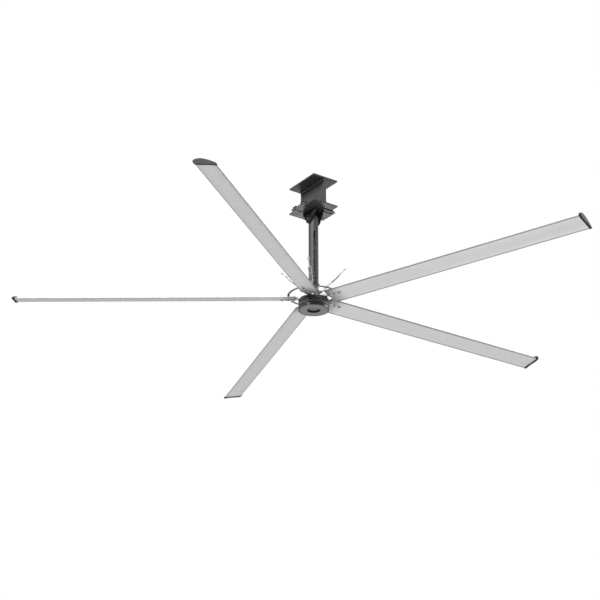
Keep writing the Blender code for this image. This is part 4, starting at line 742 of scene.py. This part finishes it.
def button(radius, height, socket, steps=48):
    """A button head: a dome that falls off with the square of the radius, with a hexagon socket of the given
    corner radius in it. Beyond the socket's edge the outline is round, and inside it six-sided."""
    a = angles(steps)
    dome = radius * np.array([1.0, 1.0, 0.97, 0.88, 0.76, 0.62])
    rise = np.array([0, 0.16, 0.34, 0.62, 0.85, 1.0, 1.0, 0.95, 0.4, 0.3])
    pit = np.outer([1.06, 1.0, 1.0, 0.02], six_sided(socket, a))
    r = np.concatenate([np.outer(dome, np.ones(steps)), pit])
    return shell(round_grid(r, a, height * rise[:, None]), around=True, ends=True)


screw_black = painted(
    "black_oxide", (0.003, 0.003, 0.003), 0.5, shine=0.08, peel=900.0, lift=0.00002,
    bare=(0.03, 0.03, 0.03), rubbed=0.2,
)
screw = [button(0.01, 0.0056, 0.004), shank(0.004, -0.016, 0.0005)]
screw_spots = [
    at(ROD_RADIUS - SEAT, 0, ROD_BOTTOM + rise, math.radians(turn), math.pi / 2)
    for turn, rise in ((CABLE_TURN, 0.075), (CABLE_TURN, 0.026), (CABLE_TURN + 90, 0.026))
]
each("button_screw", screw, screw_black, "hanging_assembly", "coupling_screw", screw_spots)


# Guy bracket: a square steel plate between the coupling and the motor shaft, with a raised lug at each
# corner. A forked jaw with a clevis pin and a swivel stud is fastened on each lug. Light grey, galvanised.
PIN_RADIUS, PIN_RISE, BRACKET_LOW, BRACKET_THICK, BRACKET_BORE = 0.102, 0.03, -1.2403, 0.008, 0.028
BRACKET_HALF, BRACKET_CORNER, LUG_FROM, LUG_TO, LUG_ROUND, LUG_HALF = 0.07, 0.064, 0.066, 0.096, 0.012, 0.003
JAW_HALF, JAW_ROUND, JAW_TO, JAW_BASE, CHEEK_FROM = 0.0085, 0.0098, 0.03, 0.0138, 0.0033
GUY_TURNS = np.radians([45, 135, 225, 315])
GUY_SLOPE = math.radians(43)
LYING = at(tilt=math.pi / 2)
half, corner = BRACKET_HALF, BRACKET_CORNER
bracket_corners = [
    (half, -corner), (half, corner), (corner, half), (-corner, half), (-half, corner), (-half, -corner),
    (-corner, -half), (corner, -half),
]
bore = on_arc(BRACKET_BORE, angles(64))
lug_side = np.concatenate([
    [(LUG_FROM, 0.004), (LUG_TO, 0.004)],
    on_arc(LUG_ROUND, np.radians(np.linspace(-50, 140, 20)), PIN_RADIUS, PIN_RISE), [(LUG_FROM, 0.014)],
])
cheek_side = np.concatenate([
    on_arc(JAW_ROUND, np.radians(np.linspace(90, 270, 17))), [(JAW_TO, -JAW_ROUND), (JAW_TO, JAW_ROUND)],
])
cheeks = []
for low, high in ((-JAW_HALF, -CHEEK_FROM), (CHEEK_FROM, JAW_HALF)):
    cheeks += bar([eased(cheek_side, 0.0008, 2)], low, high)
jaw_end = [(0, 0.015), (JAW_ROUND, 0.015), (JAW_ROUND, 0.026), (0.0072, 0.0305), (0, 0.0305)]
jaw_base = eased(box_line(JAW_BASE, JAW_TO, -JAW_HALF, JAW_HALF), 0.002, 4)
swivel = [(0, 0.026), (0.006, 0.026), (0.006, 0.0499), (0.0095, 0.0499), (0.0095, 0.0569), (0, 0.0569)]
pin = [(0, -0.0115), (0.0072, -0.0115), (0.0072, -0.0088), (0.005, -0.0088), (0.005, 0.01), (0, 0.01)]
jaw = put(cheeks, UPRIGHT) + put([turned(jaw_end, [0, 0.001, 0.003, 0.002, 0], 4, 40)], LYING)
jaw += bar([jaw_base], -JAW_ROUND, JAW_ROUND)
jaw += put([turned(swivel, [0, 0, 0.0004, 0.001, 0.002, 0], 4, 36)], LYING)
jaw += put([turned(pin, [0, 0.0012, 0.0004, 0.0003, 0.001, 0], 4, 36)], UPRIGHT)
bracket = put(bar([eased(bracket_corners, 0.003, 3), bore], 0, BRACKET_THICK), at(z=BRACKET_LOW))
jaws, lug_places = [], []
for turn in GUY_TURNS:
    bracket += put(bar([lug_side], -LUG_HALF, LUG_HALF), at(z=BRACKET_LOW, turn=turn) @ UPRIGHT)
    lug_places.append(at(PIN_RADIUS, 0, BRACKET_LOW + PIN_RISE, turn, -GUY_SLOPE))
    jaws += put(jaw, lug_places[-1])
bracket_paint = painted("bracket_paint", (0.17, 0.17, 0.172), 0.42, metallic=0.3, peel=420.0, lift=0.00012)
galvanised = metal(
    "galvanised", (0.34, 0.345, 0.35), 0.6, crystal=0.12, size=150.0, lines=0.1, depth=0.00003,
    patches=0.12, metallic=0.2, rubbed=0.2,
)
piece(
    "lugged_bracket", bracket, bracket_paint, "hanging_assembly", "guy_bracket", ["guy_bracket"],
    edge=0.0007,
)
piece("fork_jaws", jaws, galvanised, "hanging_assembly", "guy_bracket")


# Flange bolts: four M8 bolts that clamp the coupling's flange, the bracket and the shaft's flange together.
M8_CIRCLE, M8_RADIUS, M8_PITCH, M8_HEX, M8_HEAD, M8_NUT = 0.0515, 0.004, 0.00125, 0.0075, 0.0053, 0.0065
HEAD_LOW, NUT_TOP, M8_GRIP, M8_END = -1.2217, -1.2509, 0.024, 0.0025
nut_end = [hexed(M8_HEX, 0, M8_NUT, both=True), threaded(M8_RADIUS, M8_PITCH, -M8_GRIP, M8_NUT + M8_END)]
m8_bolt = [hexed(M8_HEX, HEAD_LOW, HEAD_LOW + M8_HEAD), *put(nut_end, at(z=NUT_TOP) @ FLIP)]
m8_spots = [at(x=M8_CIRCLE, turn=i * math.pi / 2) for i in range(4)]
each("m8_bolt", m8_bolt, zinc, "hanging_assembly", "flange_bolt", m8_spots)


# Turnbuckles: a forged body with two rails between bored bosses, and a threaded eye for the guy cable. The
# body turns on the swivel stud and draws the eye in or out. Galvanised steel.
BODY_FROM, BODY_TO, BOSS_LONG, RAIL_Y, RAIL_IN = 0.0315, 0.224, 0.018, 0.0136, 0.0042
RAIL_HALF, RAIL_HIGH, RAIL_IN_BOSS, EYE_X, EYE_MIDDLE = 0.0029, 0.0085, 0.004, 0.306, 0.01325
THREAD_FROM, THREAD_TO = 0.12, 0.26


def smooth(share):
    """A share from 0 to 1 with level ends: s^2 (3 - 2 s)."""
    return share * share * (3 - 2 * share)


def swept(path, section):
    """A section carried along a path in the XY plane: p + a n + b z, where n is the path's normal and (a, b)
    a point of the section."""
    p = np.asarray(path, float)
    t = np.gradient(p, axis=0)
    t /= np.linalg.norm(t, axis=1)[:, None]
    n = np.column_stack([-t[:, 1], t[:, 0]])
    flat = p[:, None, :] + section[None, :, :1] * n[:, None, :]
    up = np.broadcast_to(section[None, :, 1:], (*flat.shape[:2], 1))
    return shell(np.concatenate([flat, up], -1), around=True, ends=True)


rail_section = eased(block_line(RAIL_HALF, RAIL_HIGH), 0.0036, 6)
x = np.linspace(BODY_FROM + RAIL_IN_BOSS, BODY_TO - RAIL_IN_BOSS, 60)
near = np.clip(np.minimum(x - x[0], x[-1] - x) / BOSS_LONG, 0, 1)
rail_y = RAIL_Y - RAIL_IN * (1 - smooth(near))
rails = [swept(np.column_stack([x, side * rail_y]), rail_section) for side in (-1, 1)]
boss_side = [(0.0066, 0), (0.0112, 0), (0.0122, 0.009), (0.0112, BOSS_LONG), (0.0066, BOSS_LONG)]
boss = [turned(boss_side, [0.0006, 0.002, 0.006, 0.002, 0.0006], 5, 48, ring=True)]
body = rails + put(boss, at(x=BODY_FROM) @ LYING) + put(boss, at(x=BODY_TO - BOSS_LONG) @ LYING)
neck = [(0, 0.258), (0.0056, 0.258), (0.0056, 0.284), (0.0075, 0.294), (0, 0.294)]
eye_ring = [EYE_MIDDLE, 0] + on_arc(1, angles(28)) * [0.00375, 0.004]
eye = put([turned(neck, [0, 0.0004, 0.006, 0.002, 0], 5, 32)], LYING)
eye += put([threaded(STUD_RADIUS, M12_PITCH, -THREAD_TO, -THREAD_FROM)], LYING @ FLIP)
eye += put([lathe(eye_ring, 64, ring=True)], at(x=EYE_X))
each("turnbuckle_body", body, galvanised, "turnbuckle_{}", "turnbuckle_sleeve", lug_places)
each("threaded_eye", eye, galvanised, "guy_eye_{}", "guy_eye", lug_places)


# Motor shaft: the fixed hollow shaft that the rotor turns on, with a bolted flange at its top. Turned steel,
# the fine rings of the tool still on it; its bearing seats lie inside the hub.
shaft_side = [
    (0, -1.3006), (0.012, -1.3006), (0.012, -1.2406), (0.06, -1.2406), (0.06, -1.2506),
    (0.037, -1.2506), (0.037, -1.318), (0.033, -1.318), (0.033, -1.3262), (0.03, -1.3262),
    (0.03, -1.3445), (0.028, -1.3445), (0.028, -1.3891), (0.02, -1.3891), (0.02, -1.4065), (0, -1.4065),
]
shaft_rounding = [0, 0, 0.001, 0.0014, 0.0014, 0.004, 0.0008, *[0.0003] * 7, 0.001, 0]
shaft = turned(shaft_side, shaft_rounding, 5, 96)
shaft_steel = metal(
    "turned_shaft", (0.27, 0.27, 0.28), 0.34, stretch=(1400.0, 6.0, 1.0), lines=0.5, crystal=0.03
)
piece("turned_shaft", [shaft], shaft_steel, "hanging_assembly", "motor_shaft", ["motor_shaft"])


# Motor hub: an outer rotor motor whose cast top cover, drum and bottom cover turn about the shaft. The top
# cover carries the bearing seat and the arms' threaded holes. Its edge is rounded; its lip circles the shaft.
HUB_TOP, HUB_RADIUS, HUB_STEPS = -1.32, 0.155, 144
ON_HUB = at(z=HUB_TOP)
top_side = [
    (0.0345, 0), (HUB_RADIUS, 0), (HUB_RADIUS, -0.014), (0.058, -0.014), (0.058, -0.031), (0.0475, -0.031),
    (0.0475, -0.0062), (0.0345, -0.0062),
]
top_rounding = [0.001, 0.004, 0.0006, 0.002, 0.001, 0.0005, 0.0005, 0.0005]
top = turned(top_side, top_rounding, 6, HUB_STEPS, ring=True)
hub_coat = painted(
    "hub_coat", (0.052, 0.052, 0.053), 0.32, metallic=0.45, patches=0.28, peel=170.0, lift=0.00022
)
piece("hub_top_cover", put([top], ON_HUB), hub_coat, "rotor", "top_cover", ["top_cover"])


# Hub drum: the ring between the two covers, which carries the magnets inside. Cast aluminium, turned outside
# and sprayed with a dark metallic coat that reflects the surroundings in soft patches.
drum_side = box_line(0.14, HUB_RADIUS, -0.0143, -0.073)
drum = turned(drum_side, [0.0008, 0.0012, 0.0022, 0.0008], 4, HUB_STEPS, ring=True)
piece("hub_ring", put([drum], ON_HUB), hub_coat, "rotor", "hub_drum", ["hub_drum"])


# Bottom cover: closes the motor from below, with a groove above its rim and a round recess in its face. Cast
# aluminium in the drum's coat; face and recess floor are turned flat and finished in a lighter satin grey. A
# thin band of that grey on the drum's lower edge is a painted highlight, and black linings in the recess wall
# and the groove are painted shade.
cover_side = [
    (0, -0.088), (0.029, -0.088), (0.029, -0.0853), (0.034, -0.0853), (0.034, -0.0705), (0.042, -0.0705),
    (0.042, -0.088), (0.074, -0.088), (0.074, -0.107), (0.14, -0.107), (0.14, -0.0783), (0.149, -0.0783),
    (0.149, -0.084), (0.1565, -0.084), (0.1565, -0.1147), (0.066, -0.1147), (0.066, -0.093), (0, -0.093),
]
cover_rounding = [
    0, *[0.0004] * 5, *[0.001] * 4, 0.0006, 0.0006, 0.0008, 0.0016, 0.0036, 0.0016, 0.0025, 0,
]
cover = turned(cover_side, cover_rounding, 6, HUB_STEPS)
piece("hub_bottom_cover", put([cover], ON_HUB), hub_coat, "rotor", "bottom_cover", ["bottom_cover"])
face_side = box_line(0.069, 0.143, -0.114, -0.1149)
# Painted highlight: a thin light band round the drum's lower edge, in the face's lighter grey, stands in for
# the light line that the edge catches.
rim_highlight_side = box_line(0.1545, 0.1556, -0.0668, -0.0726)
floor_side = [(0, -0.092), (0.063, -0.092), (0.063, -0.0934), (0, -0.0934)]
faces = [turned(line, 0.0003, 2, HUB_STEPS, ring=True) for line in (face_side, rim_highlight_side)]
faces.append(turned(floor_side, [0, 0.0003, 0.0003, 0], 2, HUB_STEPS))
face_coat_and_rim_highlight = painted(
    "face_coat_and_rim_highlight", (0.185, 0.185, 0.187), 0.42, metallic=0.25, patches=0.1, peel=300.0, lift=0.00012
)
piece("hub_faces_and_rim_highlight", put(faces, ON_HUB), face_coat_and_rim_highlight, "rotor", "bottom_cover")
# Painted shade: thin black linings on the recess wall and in the groove stand in for the shade that falls
# there.
recess_shade_side = box_line(0.0654, 0.0662, -0.0932, -0.1135)
groove_shade_side = box_line(0.1485, 0.15, -0.074, -0.0835)
shade_linings = [lathe(line, HUB_STEPS, ring=True) for line in (recess_shade_side, groove_shade_side)]
shade_lining_paint = painted("recess_shade_lining", (0.008, 0.008, 0.008), 0.6, peel=700.0, rubbed=0.2)
piece("recess_and_groove_shade", put(shade_linings, ON_HUB), shade_lining_paint, "rotor", "bottom_cover")


# Blade arms: solid steel bars bolted on the hub with two hexagon bolts each. They leave the hub level and
# twist into the pitch of the blade that is pushed over them. Zinc plated.
BLADE_TURNS = np.radians(18 + 72 * np.arange(5))
BLADE_PLACES = [at(z=HUB_TOP, turn=turn) for turn in BLADE_TURNS]
PITCH, CHORD_RISE, ARM_RISE, ARM_LEVEL = math.radians(14.5), 0.0074, 0.0108, 0.0118
ARM_HALF, ARM_THICK, ARM_FROM, TWIST_FROM, TWIST_TO, ARM_TO = 0.02, 0.023, 0.08, 0.152, 0.18, 0.34
M10_RADIUS, M10_HEX, M10_HEAD, INNER_ARM_BOLT, OUTER_ARM_BOLT = 0.005, 0.0098, 0.0064, 0.098, 0.134
M10_WASHER, M10_HOLE, M10_WASHER_THICK = 0.0112, 0.0052, 0.0012
x = np.unique(np.r_[ARM_FROM, ARM_FROM + 0.001, np.linspace(TWIST_FROM, TWIST_TO, 22), ARM_TO])
share = smooth(np.clip((x - TWIST_FROM) / (TWIST_TO - TWIST_FROM), 0, 1))[:, None]
tilt = -PITCH * share
arm_y = ARM_RISE * math.sin(PITCH) * share
arm_z = ARM_LEVEL + (CHORD_RISE + ARM_RISE * math.cos(PITCH) - ARM_LEVEL) * share
side, up = eased(block_line(ARM_HALF, ARM_THICK / 2), 0.0025, 5).T
arm_grid = np.stack([
    x[:, None] + 0 * side,
    arm_y + side * np.cos(tilt) - up * np.sin(tilt),
    arm_z + side * np.sin(tilt) + up * np.cos(tilt),
], -1)
arm = [shell(arm_grid, around=True, ends=True)]
arm_bolt = [
    washer(M10_WASHER, M10_HOLE, 0, M10_WASHER_THICK), hexed(M10_HEX, M10_WASHER_THICK, M10_HEAD),
    shank(M10_RADIUS, -0.032, 0.002),
]
on_arm = ARM_THICK + SEAT
arm_bolts = put(arm_bolt, at(INNER_ARM_BOLT, 0, on_arm)) + put(arm_bolt, at(OUTER_ARM_BOLT, 0, on_arm))
arm_steel = metal(
    "arm_zinc", (0.3, 0.305, 0.31), 0.45, stretch=(6.0, 420.0, 1.0), crystal=0.06, patches=0.16
)
head_steel = metal("arm_bolt_zinc", (0.2, 0.2, 0.21), 0.42, crystal=0.04)
each("twisted_arm", arm, arm_steel, "rotor", "blade_arm", BLADE_PLACES, edge=0.0006)
each("arm_bolts", arm_bolts, head_steel, "rotor", "blade_arm", BLADE_PLACES, stands=False)


# Blades: hollow aluminium extrusions with a cambered section, pitched 14.5 degrees. Inside are two cavities
# and the arm's duct; outside the natural anodised skin shows the faint lines of the die along its length.
BLADE_FROM, BLADE_TO, CHORD, SPAR, SKIN = 0.182, 3.04, 0.214, 0.0775, 0.0024
DUCT_CLEAR, NOSE_OFF, EDGE_SHADE_BAND = 0.0005, 0.002, 0.017
UPPER = np.array([
    (1.000, 0.006), (0.740, 0.074), (0.560, 0.111), (0.415, 0.1265), (0.310, 0.1265), (0.200, 0.114),
    (0.100, 0.087), (0.040, 0.056), (0.010, 0.027), (0.000, 0.000),
])
LOWER = np.array([
    (0.008, -0.009), (0.035, -0.019), (0.100, -0.027), (0.220, -0.028), (0.362, -0.020), (0.480, -0.011),
    (0.660, 0.003), (0.830, 0.009), (1.000, -0.002),
])


def flowing(points, steps=8, closed=False):
    """A smooth line through points. Between two of them it is the cubic with the points' places and slopes,
    the slope at a point being the mean of its two sides weighted by their lengths to the half power."""
    p = np.asarray(points, float)
    if closed:
        p = np.concatenate([p[-2:], p, p[:3]])
    t = np.r_[0, np.cumsum(np.linalg.norm(np.diff(p, axis=0), axis=1) ** 0.5)]
    slope = np.gradient(p, t, axis=0)
    h = np.diff(t)[:, None, None]
    s = np.linspace(0, 1, steps, endpoint=False)[None, :, None]
    a, b, m, n = p[:-1, None], p[1:, None], slope[:-1, None], slope[1:, None]
    line = (2 * s**3 - 3 * s**2 + 1) * a + (s**3 - 2 * s**2 + s) * h * m
    line = line + (3 * s**2 - 2 * s**3) * b + (s**3 - s**2) * h * n
    if closed:
        return line[2:-2].reshape(-1, p.shape[1])
    return np.append(line.reshape(-1, p.shape[1]), p[-1:], 0)


def skin_height(table, share):
    """Height of the upper or lower skin at shares of the chord."""
    table = table[np.argsort(table[:, 0])]
    return CHORD * np.interp(share, table[:, 0], table[:, 1])


blade_line = flowing(np.concatenate([UPPER, LOWER]) * CHORD, 7) - (SPAR, 0)
cavities = []
for shares in (np.linspace(0.04, 0.245, 12), np.linspace(0.48, 0.85, 16)):
    across = CHORD * shares - SPAR
    roof = np.column_stack([across, skin_height(UPPER, shares) - SKIN])
    bed = np.column_stack([across, skin_height(LOWER, shares) + SKIN])
    cavities.append(np.concatenate([roof, bed[::-1]]))
half, low, high = ARM_HALF + DUCT_CLEAR, -ARM_THICK / 2 - DUCT_CLEAR, ARM_THICK / 2 + DUCT_CLEAR
duct = eased(box_line(-half, half, ARM_RISE + low, ARM_RISE + high), 0.0012, 3)
anodised = metal(
    "anodised_blade_with_painted_shade", (0.6, 0.605, 0.61), 0.4, stretch=(0.9, 380.0, 1.0), lines=0.08, crystal=0.0,
    metallic=0.3, patches=0.012, rubbed=0.0, depth=0.000002,
)

# Painted shade: darker bands along the rounded nose and the trailing edge stand in for the dark reflection
# where the skin turns away from the light
round_blade = run_along(blade_line)
nose = round_blade[blade_line[:, 0].argmin()] + NOSE_OFF
painted_light_bands(anodised, blade_line, [0.0, nose, round_blade[-1]], EDGE_SHADE_BAND, (0.2, 0.202, 0.205))

# Painted shade: the skin darkens towards the root, standing in for the hub's shadow on the blade's underside
add, wire = node_kit(anodised.node_tree)
add("grey", "MapRange", interpolation_type="SMOOTHSTEP", From_Max=0.2, To_Min=0.4, To_Max=1.0)
add("root_shade", "VectorMath", "SCALE")
wire(
    "band_over.Result > root_shade.0", "apart.X > grey.Value", "grey.0 > root_shade.Scale",
    "root_shade.0 > Principled BSDF.Base Color",
)
blade_bar = put(bar([blade_line, duct, *cavities], BLADE_FROM, BLADE_TO), ALONG_X)
in_pitch = at(z=CHORD_RISE) @ Matrix.Rotation(-PITCH, 4, "X")
PITCHED_PLACES = [place @ in_pitch for place in BLADE_PLACES]
each("extruded_blade", blade_bar, anodised, "rotor", "blade", PITCHED_PLACES, sharp=40)


# Tip caps: moulded plastic caps on the blades' ends, a little larger than the section and drawn out to a
# point at the trailing side. Dark grey with a fine spark-eroded texture.
CAP_THICK, CAP_LIP = 0.012, 0.009
CAP_LINE = np.array([
    (0.084, 0.036), (0.08, 0.046), (0.07, 0.0525), (0.044, 0.057), (0.015, 0.0545), (-0.02, 0.044),
    (-0.062, 0.026), (-0.098, 0.007), (-0.128, -0.012), (-0.1365, -0.021), (-0.135, -0.03),
    (-0.12, -0.0305), (-0.085, -0.0205), (-0.049, -0.0125), (0.015, -0.0015), (0.061, 0.009), (0.079, 0.022),
])
cap_line = flowing(CAP_LINE * [-1, 1], 7, closed=True)
cap_bar = put(bar([cap_line], BLADE_TO - CAP_LIP, BLADE_TO + SEAT + CAP_THICK), ALONG_X)
moulded = painted(
    "moulded_cap", (0.005, 0.005, 0.0053), 0.55, shine=0.16, patches=0.08, peel=1500.0, lift=0.00008,
    bare=(0.05, 0.05, 0.05), rubbed=0.3,
)
each("moulded_cap", cap_bar, moulded, "rotor", "tip_cap", BLADE_PLACES, edge=0.0028, sharp=50)


# Blade bolts and strips: under each blade root lies a zinc plated strip, and three bolts go up through it,
# the blade and the arm. Dark heads below, bright lock nuts above; the middle bolt also holds the safety ring.
STRIP_FROM, STRIP_TO, STRIP_HALF, STRIP_THICK = 0.186, 0.345, 0.011, 0.005
INNER_BOLT, RING_BOLT, OUTER_BOLT, M10_NUT, M10_END, M10_PITCH = 0.195, 0.258, 0.321, 0.008, 0.003, 0.0015
RING_HALF, RING_THICK, RING_CLEAR, WEDGE_HALF, WEDGE_LEAST = 0.011, 0.005, 0.001, 0.01, 0.0015


def spar_shares(half):
    """The shares of the chord at the bolts' line and at a half width on both sides of it."""
    return (np.array([-half, 0, half]) + SPAR) / CHORD


under_skin = skin_height(np.append(LOWER, UPPER[-1:], 0), spar_shares(STRIP_HALF)) - SEAT
over_skin = skin_height(UPPER, spar_shares(WEDGE_HALF)) + SEAT
low = under_skin[1] - STRIP_THICK
foot = [(-STRIP_HALF, low), (STRIP_HALF, low)]
strip_line = [*foot, (STRIP_HALF, under_skin[2]), (-STRIP_HALF, under_skin[0])]
strip = put(bar([eased(strip_line, 0.0012, 3)], STRIP_FROM, STRIP_TO), ALONG_X)
skin_tops = CHORD * UPPER[:, 1] * math.cos(PITCH) - (CHORD * UPPER[:, 0] - SPAR) * math.sin(PITCH)
ring_low = CHORD_RISE + RING_CLEAR + skin_tops.max()
ring_rise = ring_low + RING_THICK + SEAT - CHORD_RISE + WEDGE_HALF * math.sin(PITCH)
ring_top = ring_rise / math.cos(PITCH) + WEDGE_LEAST
heads, nuts = [], []
for reach in (INNER_BOLT, RING_BOLT, OUTER_BOLT):
    seat = (ring_top if reach == RING_BOLT else skin_height(UPPER, SPAR / CHORD)) + SEAT
    heads += put([hexed(M10_HEX, 0, M10_HEAD)], at(x=reach, z=low) @ FLIP)
    nut = [
        hexed(M10_HEX, seat, seat + M10_NUT, both=True),
        threaded(M10_RADIUS, M10_PITCH, low, seat + M10_NUT + M10_END, 20),
    ]
    nuts += put(nut, at(x=reach))
head_dark = metal("strip_heads", (0.13, 0.13, 0.135), 0.42, crystal=0.04)
strip_zinc = metal(
    "strip_zinc", (0.47, 0.475, 0.48), 0.42, stretch=(5.0, 500.0, 1.0), crystal=0.08, metallic=0.5, lines=0.2
)
each("strip", strip, strip_zinc, "rotor", "blade_bolt_strip", PITCHED_PLACES, edge=0.0006)
each("strip_heads", heads, head_dark, "rotor", "blade_bolt_strip", PITCHED_PLACES, stands=False)
each("lock_nuts", nuts, zinc, "rotor", "blade_bolt_strip", PITCHED_PLACES, stands=False)


# Safety ring: one flat steel ring that lies over all five blade roots, so that none can fall if an arm
# breaks. Wedge blocks welded to it fill the space down to the pitched blades. Dark grey paint.
WEDGE_LONG = 0.008
ring_side = box_line(RING_BOLT - RING_HALF, RING_BOLT + RING_HALF, ring_low, ring_low + RING_THICK)
wedge_side = [
    (-WEDGE_HALF, over_skin[0]), (0, over_skin[1]), (WEDGE_HALF, over_skin[2]), (WEDGE_HALF, ring_top),
    (-WEDGE_HALF, ring_top),
]
wedge = bar([eased(wedge_side, 0.0006, 2)], -WEDGE_LONG, WEDGE_LONG)
ring = [turned(ring_side, 0.0012, 4, 180, ring=True)]
for turn in BLADE_TURNS:
    ring += put(wedge, at(turn=turn) @ in_pitch @ at(x=RING_BOLT) @ ALONG_X)
ring_paint = painted("ring_paint", (0.1, 0.1, 0.102), 0.42, metallic=0.25, peel=480.0)
ring = put(ring, ON_HUB)
piece("flat_safety_ring", ring, ring_paint, "rotor", "safety_ring", ["safety_ring"], edge=0.0005, sharp=45)


# Inside the motor: stator carrier, laminated core, copper windings, shaft nut, magnets and bearings, and the
# sleeve in the downrod. None shows from outside, so they keep their own shape and get their materials.
hidden = {
    "pivot_sleeve": metal("sleeve_steel", (0.45, 0.45, 0.46), 0.35),
    "stator_carrier": metal(
        "carrier_casting", (0.55, 0.55, 0.56), 0.5, crystal=0.12, size=500.0, depth=0.0001,
    ),
    "stator_core": metal("core_laminations", (0.3, 0.3, 0.32), 0.5, lines=0.5),
    "stator_windings": metal("winding_copper", (0.62, 0.27, 0.12), 0.38, crystal=0.1, size=900.0),
    "shaft_nut": metal("nut_steel", (0.4, 0.4, 0.41), 0.35),
    "rotor_magnets": metal("magnet_nickel", (0.55, 0.54, 0.52), 0.28, crystal=0.05),
    "upper_bearing": metal("bearing_steel", (0.62, 0.62, 0.63), 0.2, lines=0.15),
}
hidden["lower_bearing"] = hidden["upper_bearing"]
for node, finish in hidden.items():
    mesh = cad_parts[node].data
    mesh.materials.clear()
    mesh.materials.append(finish)
